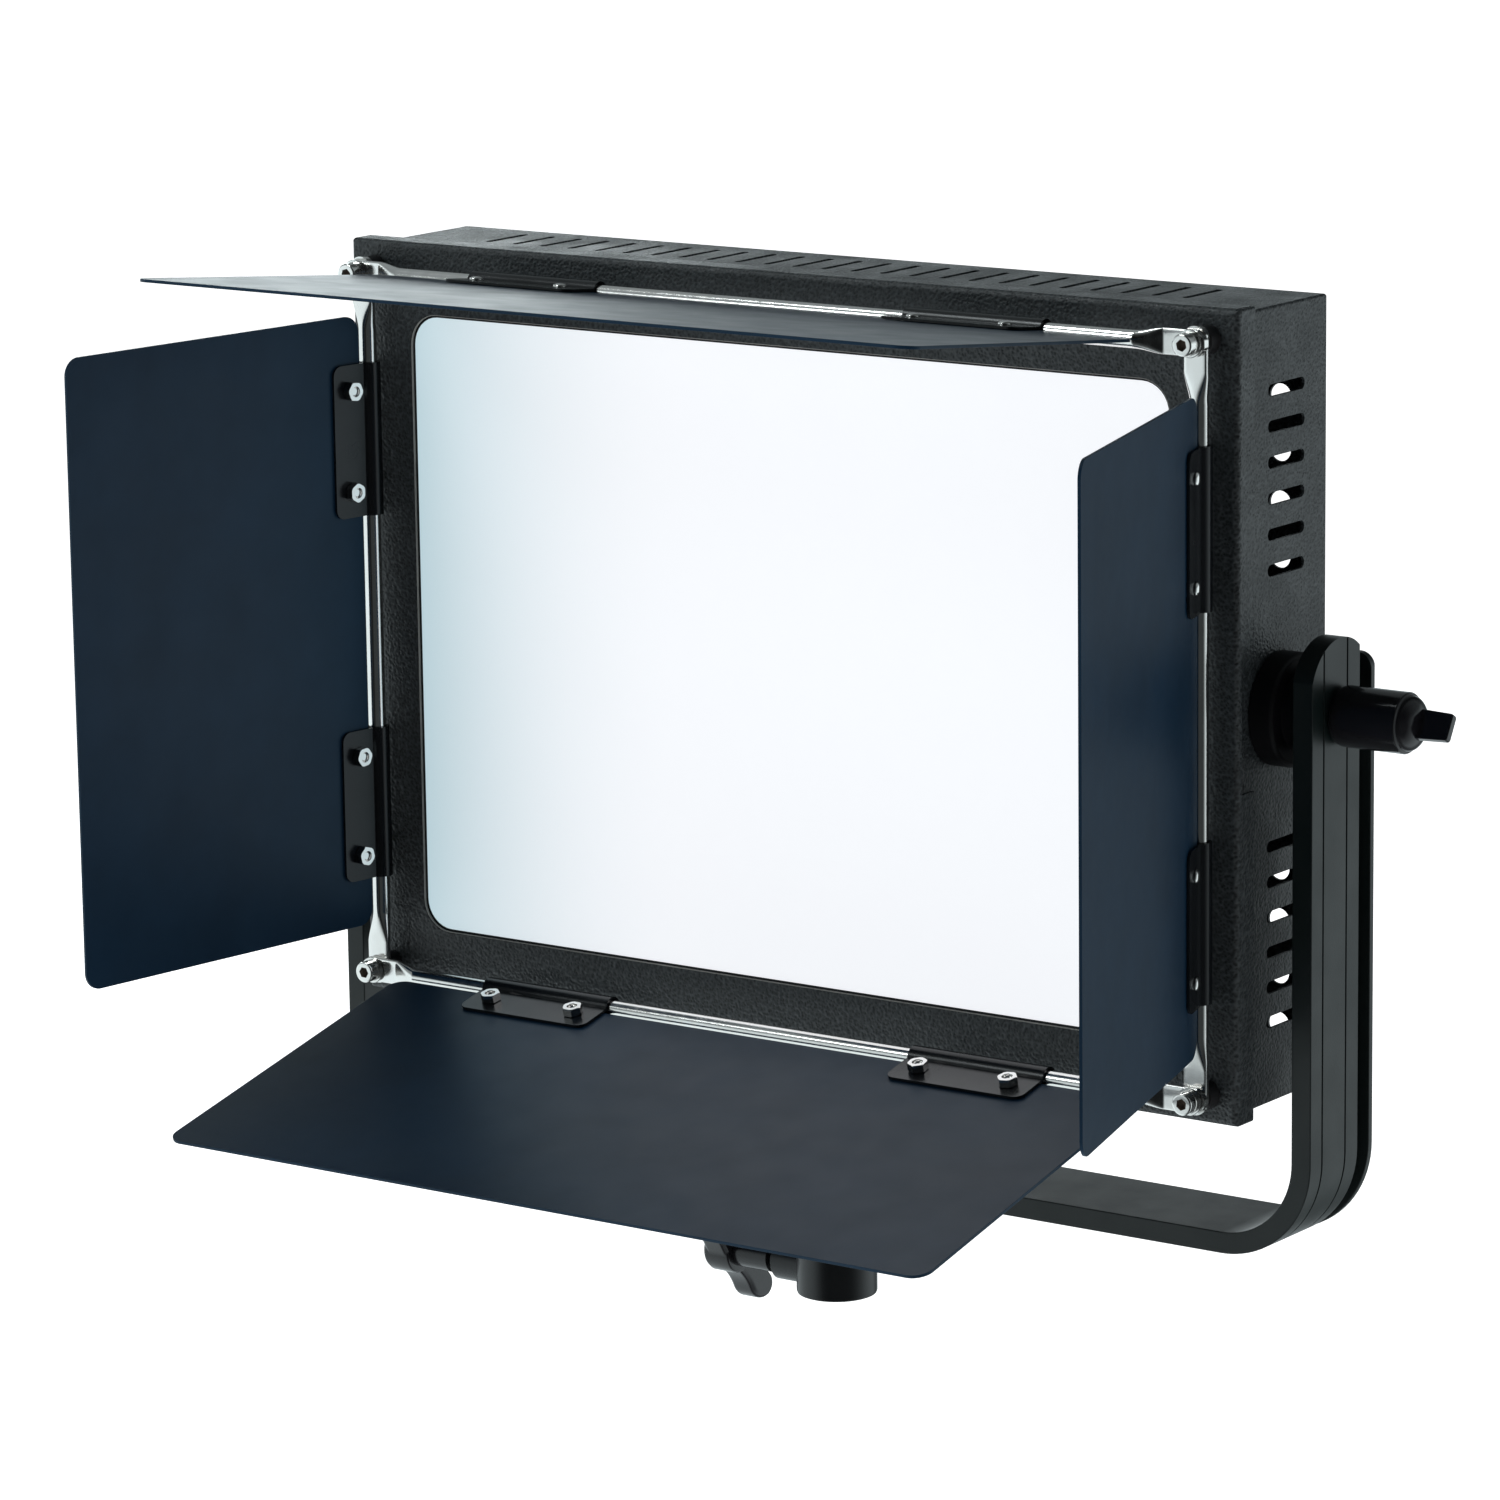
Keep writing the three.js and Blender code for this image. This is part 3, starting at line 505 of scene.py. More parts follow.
# Black for the ring behind the window's edge: painted shade for the gap there.
painted_shade_black = smooth_paint("painted_shade_black", (0.008, 0.008, 0.009), (0.014, 0.014, 0.015),
                            (0.6, 0.75), 0.5, 0.05)
disc_black = smooth_paint("disc_black", (0.003, 0.003, 0.004), (0.005, 0.005, 0.006),
                          (0.35, 0.5), specular=0.3)
plate_black = smooth_paint("plate_black", (0.010, 0.010, 0.011), (0.016, 0.016, 0.017),
                           (0.45, 0.55), 0.4, 0.03)
nickel = plated_metal("nickel", (0.86, 0.84, 0.81), (0.93, 0.92, 0.90), (0.12, 0.2), 0.003)
# Dark brown for the discs on the bolts' socket floors: painted shade in the sockets.
socket_painted_shade = smooth_paint("socket_painted_shade", (0.05, 0.035, 0.025), (0.10, 0.07, 0.05), (0.4, 0.6))
# Light grey for the window's cut edge: a painted highlight where the diffuser lights it.
painted_edge_highlight = smooth_paint("painted_edge_highlight", (0.20, 0.20, 0.19), (0.34, 0.34, 0.32), (0.3, 0.45), 0.5, 0.03)
white_marks = smooth_paint("white_marks", (0.62, 0.62, 0.60), (0.70, 0.70, 0.68), (0.5, 0.6))
mask_green = smooth_paint("mask_green", (0.02, 0.11, 0.05), (0.04, 0.16, 0.08), (0.3, 0.45))
raw_aluminium = plated_metal("raw_aluminium", (0.52, 0.53, 0.55), (0.62, 0.63, 0.65), (0.3, 0.45), 0.03)
white_film = smooth_paint("white_film", (0.80, 0.80, 0.78), (0.86, 0.86, 0.85), (0.5, 0.7))

for node_name, node_material in {
    "diffuser_panel": glowing_diffuser("opal_diffuser"),
    "light_box": white_film,
    "led_board": led_board_material("led_board"),
    "heat_plate": raw_aluminium,
    "power_supply": raw_aluminium,
    "driver_board": mask_green,
}.items():
    for material_slot in frame["nodes"][node_name].material_slots:
        material_slot.material = node_material


# ---- head: folded shells
def fold_ring(half_x, half_z, radius, y):
    return [(x, y, z) for x, z in rounded_rectangle(2 * half_x, 2 * half_z, radius, 0, pivot.z)]


def window_outline(grow, y):
    """The window's edge at depth y, moved outwards by grow."""
    return fold_ring(WINDOW["width"] / 2 + grow, WINDOW["height"] / 2 + grow, WINDOW["radius"] + grow, y)


def shell_ring(low, high, inset, y):
    radius = max(FOLD_CORNER - inset, 0.25)
    half_x, half_z = (high.x - low.x) / 2 - inset, (high.z - low.z) / 2 - inset
    return fold_ring(half_x, half_z, radius, y)


def bend_steps(radius, steps=6):
    """(sine, cosine) from the flat to the flange."""
    return [(math.sin(k * math.pi / 2 / steps), math.cos(k * math.pi / 2 / steps)) for k in range(steps + 1)]


def front_bezel():
    rear = bezel_high.y
    edge = 0.5
    lip = [(0, front + SHEET), (0, front + edge), (edge * 0.3, front + edge * 0.3), (edge, front)]
    rings = [window_outline(grow, y) for grow, y in lip]
    for sine, cosine in bend_steps(BEND):
        rings.append(shell_ring(bezel_low, bezel_high, BEND * (1 - sine), front + BEND * (1 - cosine)))
    for inset, y in [(0, rear - 0.3), (0.3, rear), (SHEET - 0.3, rear), (SHEET, rear - 0.3)]:
        rings.append(shell_ring(bezel_low, bezel_high, inset, y))
    inside = BEND - SHEET
    for sine, cosine in reversed(bend_steps(BEND)):
        rings.append(shell_ring(bezel_low, bezel_high, BEND - inside * sine, front + BEND - inside * cosine))
    shell = skin(rings, close_rings=True)
    half_x = bezel_high.x
    half_z = (bezel_high.z - bezel_low.z) / 2
    tools = [block(-half_x - 1, half_x + 1, front + NOTCH["start"], rear + 1,
                   pivot.z - NOTCH["half"], pivot.z + NOTCH["half"])]
    for side in (-1, 1):
        for end in (-1, 1):
            seam_x = side * (half_x - CORNER_SEAM["offset"])
            tools.append(block(
                seam_x - CORNER_SEAM["width"] / 2, seam_x + CORNER_SEAM["width"] / 2,
                front + 0.9, rear + 1,
                pivot.z + end * half_z - CORNER_SEAM["depth"], pivot.z + end * half_z + CORNER_SEAM["depth"],
            ))
    return cut(shell, together(*tools))


def slot_outline(length, width, x, y):
    return rounded_rectangle(length, width, min(length, width) / 2 - 0.01, x, y, 6)


def rear_housing():
    rim = housing_low.y
    rings = []
    inside = BEND - SHEET
    for sine, cosine in bend_steps(BEND):
        rings.append(shell_ring(housing_low, housing_high, BEND * (1 - sine), back - BEND * (1 - cosine)))
    rings.append(shell_ring(housing_low, housing_high, 0, rim))
    rings.append(shell_ring(housing_low, housing_high, SHEET, rim))
    for sine, cosine in reversed(bend_steps(BEND)):
        rings.append(shell_ring(housing_low, housing_high, BEND - inside * sine,
                                back - BEND + inside * cosine))
    shell = skin(rings)
    tools = []
    for k in range(TOP_SLOTS["count"]):
        x = (k - (TOP_SLOTS["count"] - 1) / 2) * TOP_SLOTS["pitch"]
        outline = slot_outline(TOP_SLOTS["width"], TOP_SLOTS["length"], x, TOP_SLOTS["y"])
        tools.append(prism(outline, housing_high.z - 4, housing_high.z + 4))
        tools.append(prism(outline, housing_low.z - 4, housing_low.z + 4))
    for side in (-1, 1):
        for end in (-1, 1):
            for k in range(SIDE_SLOTS["count"]):
                z = pivot.z + end * (SIDE_SLOTS["first"] + k * SIDE_SLOTS["pitch"])
                outline = slot_outline(SIDE_SLOTS["length"], SIDE_SLOTS["height"], SIDE_SLOTS["y"], z)
                wall = side * housing_high.x
                tools.append(along_x(outline, wall - 4, wall + 4))
            for k in range(BACK_VENTS["count"]):
                z = pivot.z + end * (BACK_VENTS["first"] + k * BACK_VENTS["pitch"])
                hole = cylinder(BACK_VENTS["radius"], back - 4, back + 4, 28)
                tools.append(placed(hole, Z_TO_BACK, at(side * BACK_VENTS["x"], 0, z)))
        bore = cylinder(PIVOT_HOLE, -4, 4, 24)
        tools.append(placed(bore, Z_TO_X, at(side * housing_high.x, 0, pivot.z)))
    tools += control_holes(back - 4, back + 4)
    return softened(cut(shell, together(*tools)), 0.22, 1, 60)


def control_holes(start, end):
    """Holes for the rear controls, through the housing and the control plate."""
    z = pivot.z + CONTROL_Z
    holes = []
    for name in ("dimmer", "colour"):
        shaft = cylinder(CONTROL_HOLES["shaft"], start, end, 24)
        holes.append(placed(shaft, Z_TO_BACK, at(CONTROL_X[name], 0, z)))
    for name in ("switch", "inlet"):
        x = CONTROL_X[name]
        half_x, half_z = CONTROL_HOLES[name]
        holes.append(block(x - half_x, x + half_x, start, end, z - half_z, z + half_z))
    return holes


def window_painted_shade_ring():
    """Thin black ring between the bezel and the diffuser, its edge just inside the window: painted shade for
    the gap behind the window's edge.
    """
    return window_ring(-1.0, 2, front + 1.24, front + 1.46)


def window_edge():
    """Light grey ring on the cut edge of the bezel's sheet round the window: a painted highlight where the
    diffuser lights the edge.
    """
    return window_ring(-0.14, 0.1, front + 0.22, front + SHEET)


def window_ring(inner, outer, start, end):
    """Frame following the window; inner and outer are distances outwards from the opening."""
    corners = [(inner, start), (inner, end), (outer, end), (outer, start)]
    return skin([window_outline(grow, y) for grow, y in corners], close_rings=True)


rebuilt("front_bezel", front_bezel(), "head", crinkle_black)
rebuilt("rear_housing", rear_housing(), "head", crinkle_black)
# A dark ring just inside the window: painted shade in the gap behind the bezel's sheet.
piece("look_window_gasket", window_painted_shade_ring(), "head", painted_shade_black)
# A light grey ring on the window's edge: painted highlight.
piece("look_window_edge", window_edge(), "head", painted_edge_highlight)


# ---- head: friction discs
def friction_disc(node, side):
    low, high = node_box(node)
    base, end = (low.x, high.x) if side > 0 else (-high.x, -low.x)
    rim = base + DISC["thickness"]
    radius, hub, bore = DISC["radius"], DISC["hub"], DISC["bore"]
    ring = lathe([
        (bore, base), (radius - 0.4, base), (radius, base + 0.4), (radius, rim - 1.6),
        (radius - 0.5, rim - 0.6), (radius - 1.4, rim), (hub + 0.6, rim), (hub + 0.1, rim + 0.3),
        (hub, rim + 0.8), (hub, end - 0.4), (hub - 0.4, end), (bore, end),
    ], 72)
    return placed(ring, Z_TO_X if side > 0 else Z_TO_LEFT, at(0, 0, pivot.z))


for disc_name, disc_side in (("friction_disc_right", 1), ("friction_disc_left", -1)):
    rebuilt(disc_name, friction_disc(disc_name, disc_side), "head", disc_black)


# ---- barn-door frame
def flattened_rod(bolt_distance, round_end, flat_side):
    """Round rod along Z whose ends are pressed flat, the flats facing Y and lying to one side of its axis."""
    end = bolt_distance + ROD["beyond"]
    crease = bolt_distance - ROD["flat"] + 5
    flare_steps = 12
    half = []
    for k in range(flare_steps + 1):
        half.append((crease - ROD["flare"] * (1 - k / flare_steps), k / flare_steps))
    half.append((end, 1.0))
    flat_offset = flat_side * (ROD["radius"] - ROD["half_thickness"])
    whole = [(-z, flat) for z, flat in reversed(half)] + half
    rings = []
    for z, flat in whole:
        ease = flat * flat * (3 - 2 * flat)
        half_x = ROD["radius"] + (ROD["half_width"] - ROD["radius"]) * ease
        half_y = ROD["radius"] + (ROD["half_thickness"] - ROD["radius"]) * flat
        power = 1 - 0.72 * flat ** 1.5
        ring = []
        for k in range(40):
            cosine, sine = math.cos(TURN * k / 40), math.sin(TURN * k / 40)
            ring.append((math.copysign(half_x * abs(cosine) ** power, cosine),
                         flat * flat_offset + math.copysign(half_y * abs(sine) ** power, sine), z))
        rings.append(ring)
    rod = skin(rings)
    limit_x = ROD["half_width"] + 0.4
    if round_end:
        plan = arc(0, end - limit_x, limit_x, 0, 180, 16) + arc(0, limit_x - end, limit_x, 180, 360, 16)
    else:
        plan = filleted([
            (limit_x, end - 4), (limit_x - 3.6, end), (3.6 - limit_x, end), (-limit_x, end - 4),
            (-limit_x, 4 - end), (3.6 - limit_x, -end), (limit_x - 3.6, -end), (limit_x, 4 - end),
        ], 0.8, 3)
    slab = along_y(plan, -6, 6)
    holes = [placed(cylinder(ROD["hole"], -4, 4, 24), Z_TO_BACK, at(0, 0, z))
             for z in (bolt_distance, -bolt_distance)]
    trimmed = cut(boolean("INTERSECT", rod, slab), together(*holes))
    return softened(trimmed, 0.25, 2, 50, lambda point: abs(point.z) > crease + 1)


def add_rods():
    level = spin(90, "Y")
    upright = Matrix()
    for name, bolt, round_end, flat_side, turn in (
        ("top_rod", BOLT["x"], False, 1, level), ("bottom_rod", BOLT["x"], False, 1, level),
        ("left_rod", BOLT["z"], True, -1, upright), ("right_rod", BOLT["z"], True, -1, upright),
    ):
        low, high = node_box(name)
        centre = (low + high) / 2
        rod = placed(flattened_rod(bolt, round_end, flat_side), turn, at(*centre))
        rebuilt(name, rod, "head", nickel)


def corner_bolt(seat, shank):
    """Socket-head screw on a flat and a split washer, along +Z with the rod's face at seat."""
    body = lathe([
        (0, shank), (2.4, shank), (2.4, seat), (5.0, seat), (5.2, seat + 0.15), (5.2, seat + 0.75),
        (5.0, seat + 0.9), (4.3, seat + 0.9), (4.4, seat + 1.0), (4.4, seat + 1.75), (4.25, seat + 1.9),
        (3.95, seat + 1.95), (3.95, seat + 2.1), (4.25, seat + 2.3), (4.25, seat + 5.4), (4.1, seat + 5.75),
        (3.8, seat + 5.95), (3.4, seat + 6), (0, seat + 6),
    ], 48)
    return cut(body, hexagon(4.0, seat + 3, seat + 8))


def add_corner_screws():
    for end_name, end in (("top", 1), ("bottom", -1)):
        for side_name, side in (("left", -1), ("right", 1)):
            corner = f"{end_name}_{side_name}"
            bolt_low, bolt_high = node_box(f"corner_bolt_{corner}")
            x, z = side * BOLT["x"], pivot.z + end * BOLT["z"]
            bolt = placed(corner_bolt(-bolt_low.y - 6, -bolt_high.y),
                          spin(20 + 13 * side + 9 * end, "Z"),
                          Z_TO_FRONT, at(x, 0, z))
            rebuilt(f"corner_bolt_{corner}", bolt, "head", nickel)
            # A dark disc on the socket's floor: painted shade in the socket's recess.
            well = placed(cylinder(2.25, 0, 0.3, 24), Z_TO_FRONT, at(x, bolt_low.y + 3.0, z))
            piece(f"look_socket_floor_{corner}", well, "head", socket_painted_shade)
            low, high = node_box(f"corner_spacer_{corner}")
            spacer = lathe([
                (2.75, -high.y), (5.2, -high.y), (5.5, 0.3 - high.y), (5.5, -low.y - 0.3), (5.2, -low.y),
                (2.75, -low.y),
            ], 40)
            rebuilt(f"corner_spacer_{corner}", placed(spacer, Z_TO_FRONT, at(x, 0, z)), "head",
                    plastic_black)


add_rods()
add_corner_screws()


# ---- barn doors
# A door's own frame has the rod along X, the leaf reaching along -Y and the outside of the lamp at +Z.
def screw_places(clip_centre):
    half = SCREW["spacing"] / 2
    return [centre + side * half for centre in (-clip_centre, clip_centre) for side in (-1, 1)]


def door_leaf(length, reach, clip_centre):
    depth = reach - LEAF["start"]
    outline = rounded_rectangle(length, depth, LEAF["corner"], 0, -LEAF["start"] - depth / 2, 12)
    half = LEAF["thickness"] / 2
    plate = prism(outline, -half, half)
    holes = [placed(cylinder(SCREW["hole"], -3, 3, 20), at(x, -SCREW["reach"], 0))
             for x in screw_places(clip_centre)]
    return softened(cut(plate, together(*holes)), 0.3, 3, 50)


def hinge_clip():
    """Sheet strip curled round the rod, its two tabs gripping the leaf."""
    slot = LEAF["thickness"] / 2 + GAP
    outer_tab = slot + CLIP["thickness"]
    outer = CLIP["inner"] + CLIP["thickness"]
    outer_angle = math.degrees(math.asin(outer_tab / outer))
    inner_angle = math.degrees(math.asin(slot / CLIP["inner"]))
    strip = [(-CLIP["tab_end"], outer_tab)]
    strip += arc(0, 0, outer, 180 - outer_angle, outer_angle - 180, 36)
    strip += [(-CLIP["tab_end"], -outer_tab), (-CLIP["tab_end"], -slot)]
    strip += arc(0, 0, CLIP["inner"], inner_angle - 180, 180 - inner_angle, 36)
    strip += [(-CLIP["tab_end"], slot)]
    half = CLIP["length"] / 2
    curl = along_x(strip, -half, half)
    corner = CLIP["corner"]
    plan = arc(corner - half, corner - CLIP["tab_end"], corner, 180, 270, 8)
    plan += arc(half - corner, corner - CLIP["tab_end"], corner, 270, 360, 8)
    plan += [(half, 8), (-half, 8)]
    slab = prism(plan, -8, 8)
    holes = [placed(cylinder(SCREW["hole"], -5, 5, 20), at(side * SCREW["spacing"] / 2, -SCREW["reach"], 0))
             for side in (-1, 1)]
    body = cut(boolean("INTERSECT", curl, slab), together(*holes))
    return softened(body, 0.2, 2, 60)


def friction_screw():
    """Small set screw through the curl, its tip towards the lamp."""
    tip = lathe([(0, 4.2), (1.5, 4.2), (1.5, 7.2), (1.25, 7.7), (0.7, 7.95), (0, 8)], 20)
    return placed(tip, Z_TO_BACK, at(-SCREW["spacing"] / 2 + 4, 0, 0))


def clip_screw():
    """Low domed screw outside the leaf, its end just inside a hexagon nut."""
    seat = LEAF["thickness"] / 2 + GAP + CLIP["thickness"] + GAP
    under = -seat - NUT["height"]
    body = lathe([
        (0, under + 0.9), (1.4, under + 0.9), (1.8, under + 1.2), (1.8, seat), (2.7, seat),
        (2.65, seat + 0.35), (2.3, seat + 0.75), (1.6, seat + 1.05), (0.8, seat + 1.17), (0, seat + 1.2),
    ], 32)
    hexagonal = hexagon(NUT["across_flats"], under, -seat)
    crown = lathe([
        (0, -seat + 0.01), (3.75, -seat + 0.01), (4.1, -seat - 0.3), (4.1, under + 0.35), (3.7, under - 0.01),
        (0, under - 0.01),
    ], 48)
    bore = lathe([
        (0, under - 1), (2.6, under - 1), (1.95, under + 0.35), (1.95, under + 1.4), (0, under + 1.4),
    ], 32)
    nut_body = cut(boolean("INTERSECT", hexagonal, crown), bore)
    return join(nut_body, body)


def door_frame(name):
    door = DOORS[name]
    return (at(*joint_place(f"{name}_hinge"))
            @ spin(door["turn"], "Y")
            @ at(door["shift"], 0, 0)
            @ spin(-door["open"], "X"))


def add_door(name):
    door = DOORS[name]
    place = door_frame(name)
    leaf = placed(door_leaf(door["length"], door["reach"], door["clip_centre"]), place)
    rebuilt(f"{name}_leaf", leaf, name, leaf_black)
    for index, x in enumerate((-door["clip_centre"], door["clip_centre"]), start=1):
        clip = placed(hinge_clip(), at(x, 0, 0), place)
        rebuilt(f"{name}_clip_{index}", clip, name, clip_black)
        tip = placed(friction_screw(), at(x, 0, 0), place)
        piece(f"look_{name}_friction_screw_{index}", tip, name, nickel)
    for index, x in enumerate(screw_places(door["clip_centre"]), start=1):
        turn = Matrix.Rotation(math.radians(37 * index + len(name)), 4, "Z")
        screw = placed(clip_screw(), turn, at(x, -SCREW["reach"], 0), place)
        rebuilt(f"{name}_screw_{index}", screw, name, nickel)


for door_name in DOORS:
    add_door(door_name)


# ---- yoke
def yoke_section():
    """Cross-section as (y, outward distance from the inside face): grooves, recess and rear flange."""
    start = YOKE["front"]
    wall = YOKE["wall"]
    points = [(start, 0), (start, wall)]
    for offset in GROOVE["offsets"]:
        points += [
            (start + offset, wall), (start + offset, wall - GROOVE["depth"]),
            (start + offset + GROOVE["width"], wall - GROOVE["depth"]),
            (start + offset + GROOVE["width"], wall),
        ]
    points += [
        (YOKE["bar_end"], wall), (YOKE["bar_end"], YOKE["web_wall"]), (YOKE["web_end"], YOKE["web_wall"]),
        (YOKE["web_end"], wall), (YOKE["rear"], wall), (YOKE["rear"], 0),
    ]
    return filleted(points, 0.6, 3)


def yoke_path():
    """(x, z, outward x, outward z) along the inside of the U."""
    inner = YOKE["inner"]
    radius = YOKE["outer_bend"] - YOKE["wall"]
    floor = YOKE["underside"] + YOKE["wall"]
    top = yoke_high.z + 3
    path = [(-inner, top, -1, 0)]
    for centre_x, start in ((radius - inner, 180), (inner - radius, 270)):
        for (x, z), (nx, nz) in zip(arc(centre_x, floor + radius, radius, start, start + 90, 20),
                                    arc(0, 0, 1, start, start + 90, 20)):
            path.append((x, z, nx, nz))
    path.append((inner, top, 1, 0))
    return path


def yoke_frame():
    section = yoke_section()
    rings = [[(x + nx * out, y, z + nz * out) for y, out in section] for x, z, nx, nz in yoke_path()]
    frame_body = skin(rings)
    reach = yoke_high.x + 2
    top = yoke_high.z + 10
    start = YOKE["front"]
    bar_end, web_end = YOKE["bar_end"], YOKE["web_end"]
    crown_z = pivot.z + CROWN["lift"]
    crown = [(y, z) for y, z in arc(CROWN["shift"], crown_z, CROWN["radius"], 180, 0, 60) if y < bar_end]
    bar_end_z = crown_z + math.sqrt(CROWN["radius"] ** 2 - (bar_end - CROWN["shift"]) ** 2)
    over_bar = [(start - 2, crown_z), *crown, (bar_end, bar_end_z), (bar_end, top), (start - 2, top)]
    web_top = pivot.z + CROWN["web_top"]
    over_web = [(bar_end - 0.01, web_top), (web_end + 0.01, web_top), (web_end + 0.01, top),
                (bar_end - 0.01, top)]
    flange_top = pivot.z + CROWN["flange_top"]
    corner = CROWN["flange_corner"]
    outer = yoke_high.x
    tools = [along_x(over_bar, -reach, reach), along_x(over_web, -reach, reach)]
    for side in (-1, 1):
        over_flange = [(side * (YOKE["inner"] - 2), top), (side * (YOKE["inner"] - 2), flange_top)]
        over_flange += [(side * x, z) for x, z in arc(outer - corner, flange_top - corner, corner, 90, 0, 10)]
        over_flange += [(side * reach, flange_top - corner), (side * reach, top)]
        tools.append(along_y(over_flange, web_end, YOKE["rear"] + 1))
        bore = cylinder(PIVOT_HOLE, -12, 12, 32)
        tools.append(placed(bore, Z_TO_X, at(side * YOKE["inner"], 0, pivot.z)))
    tools.append(cylinder(6.3, YOKE["underside"] - 5, YOKE["underside"] + 15, 32))
    body = cut(frame_body, *tools)
    return softened(body, 0.5, 3, 45, lambda point: point.z > pivot.z + 5)


def left_pivot_bolt():
    base = YOKE["inner"] + YOKE["wall"] + GAP
    shank = housing_high.x - 6
    body = lathe([
        (0, shank), (4, shank), (4, base), (10.8, base), (11, base + 0.3), (11, base + 1.3),
        (10.8, base + 1.6), (7.2, base + 1.6), (7.4, base + 1.9), (7.4, base + 7.2), (7.1, base + 7.7),
        (6.6, base + 8), (0, base + 8),
    ], 48)
    socket = hexagon(8, base + 3.5, base + 12)
    return placed(cut(body, socket), Z_TO_LEFT, at(0, 0, pivot.z))


def tilt_knob():
    """Round knob with a softened base, a crisp step to its domed end and a flat tab."""
    radius = TILT_KNOB["radius"]
    foot = TILT_KNOB["base_radius"] - 0.8
    base = YOKE["inner"] + YOKE["wall"] + GAP
    dome = base + TILT_KNOB["length"]
    shank = housing_high.x - 6
    profile = [(0, shank), (4, shank), (4, base), (foot, base)]
    profile += [(foot + (radius - foot) * math.sin(a), base + 3.6 * (1 - math.cos(a)))
                for a in (math.radians(15 * k) for k in range(1, 7))]
    profile += [(radius, dome - 0.5), (radius - 0.3, dome), (radius - 1.1, dome + 0.35)]
    profile += [((radius - 1.1) * math.cos(a), dome + 0.35 + TILT_KNOB["dome"] * math.sin(a))
                for a in (math.radians(11 * k) for k in range(1, 8))]
    profile += [(0, dome + 0.35 + TILT_KNOB["dome"])]
    body = lathe(profile, 72)
    tab_end = dome + TILT_KNOB["tab_length"]
    corners = [(-6, dome - 2), (6, dome - 2), (5.2, tab_end), (-5.2, tab_end)]
    tab = softened(prism(filleted(corners, 1.2, 3), -1.6, 1.6), 0.45, 3, 50)
    tab = placed(tab, axes((0, 1, 0), (1, 0, 0), (0, 0, -1)), Matrix.Rotation(TILT_KNOB["tab_turn"], 4, "X"))
    return join(placed(body, Z_TO_X), tab)


def stand_receiver():
    radius, height = RECEIVER["radius"], RECEIVER["height"]
    bore, depth = RECEIVER["bore"], RECEIVER["bore_depth"]
    bar_top = YOKE["underside"] + YOKE["wall"] + GAP
    body = lathe([
        (0, depth), (bore, depth), (bore, 0.8), (bore + 0.8, 0), (radius - 1.2, 0), (radius - 0.35, 0.35),
        (radius, 1.2), (radius, height - 1.2), (radius - 0.35, height - 0.35), (radius - 1.2, height),
        (6, height), (6, bar_top), (9.7, bar_top), (10, bar_top + 0.3), (10, bar_top + 2.2),
        (9.6, bar_top + 2.8), (8.6, bar_top + 3), (0, bar_top + 3),
    ], 72)
    end = -CLAMP["boss_end"]
    boss = lathe([(0, -radius + 4), (CLAMP["boss"], -radius + 4), (CLAMP["boss"], end + 0.8),
                  (CLAMP["boss"] - 0.8, end), (0, end)], 48)
    thread = cylinder(4.3, end - 1, -bore + 2, 32)
    clamp_place = at(0, 0, CLAMP["z"])
    return cut(join(body, placed(boss, Z_TO_X, clamp_place)), placed(thread, Z_TO_X, clamp_place))


def bezier(start, first, second, end, steps=10):
    points = [Vector(point) for point in (start, first, second, end)]
    made = []
    for k in range(1, steps + 1):
        t = k / steps
        weights = ((1 - t) ** 3, 3 * t * (1 - t) ** 2, 3 * t * t * (1 - t), t ** 3)
        made.append(tuple(sum((w * p for w, p in zip(weights, points)), Vector((0, 0)))))
    return made


def grip_wing():
    """One half of the S-shaped grip, drawn in (y, z)."""
    wing = [(-5, -5)]
    for first, second, end in (
        ((2, -11), (5, -13), (8, -19)), ((10, -23), (15, -25), (19, -23.5)),
        ((23, -21.5), (23, -17), (20.5, -14.5)), ((16, -10), (13, -6), (7, 5)),
    ):
        wing += bezier(wing[-1], first, second, end)
    return wing


def rounded_slab(outline, low, high, round_by, steps=4):
    """Solid along X whose outline shrinks towards both ends, as if its edges were rounded."""
    centre = sum((Vector(point) for point in outline), Vector((0, 0))) / len(outline)
    rings = []
    for end, inward in ((low, 1), (high, -1)):
        ring_set = []
        for k in range(steps + 1):
            angle = math.pi / 2 * k / steps
            inset = round_by * (1 - math.sin(angle))
            x = end + inward * round_by * (1 - math.cos(angle))
            ring_set.append([(x, *point) for point in shrunk(outline, inset)])
        rings.append(ring_set)
    return skin(rings[0] + rings[1][::-1])


def shrunk(outline, inset):
    """The outline moved inwards by inset, point by point."""
    count = len(outline)
    moved = []
    for k, point in enumerate(outline):
        along = (Vector(outline[(k + 1) % count]) - Vector(outline[k - 1])).normalized()
        moved.append((point[0] - along.y * inset, point[1] + along.x * inset))
    return moved


def receiver_knob():
    low, high = -CLAMP["knob_to"], -CLAMP["knob_from"]
    wing = rounded_slab(grip_wing(), low + 1, high, 2.2)
    opposite = placed(wing.copy(), spin(180, "X"))
    hub = lathe([
        (0, low - 1), (7.2, low - 1), (8.6, low - 0.4), (9.5, low + 1.2), (9.5, high - 1), (9, high - 0.2),
        (8.2, high), (0, high),
    ], 56)
    stem = cylinder(4, high - 2, -RECEIVER["bore"] - 0.4, 32)
    collar = cylinder(CLAMP["collar"], high - 2, -CLAMP["collar_from"], 40)
    whole = join(placed(hub, Z_TO_X), wing, opposite, placed(collar, Z_TO_X), placed(stem, Z_TO_X))
    return placed(whole, at(0, 0, CLAMP["z"]))


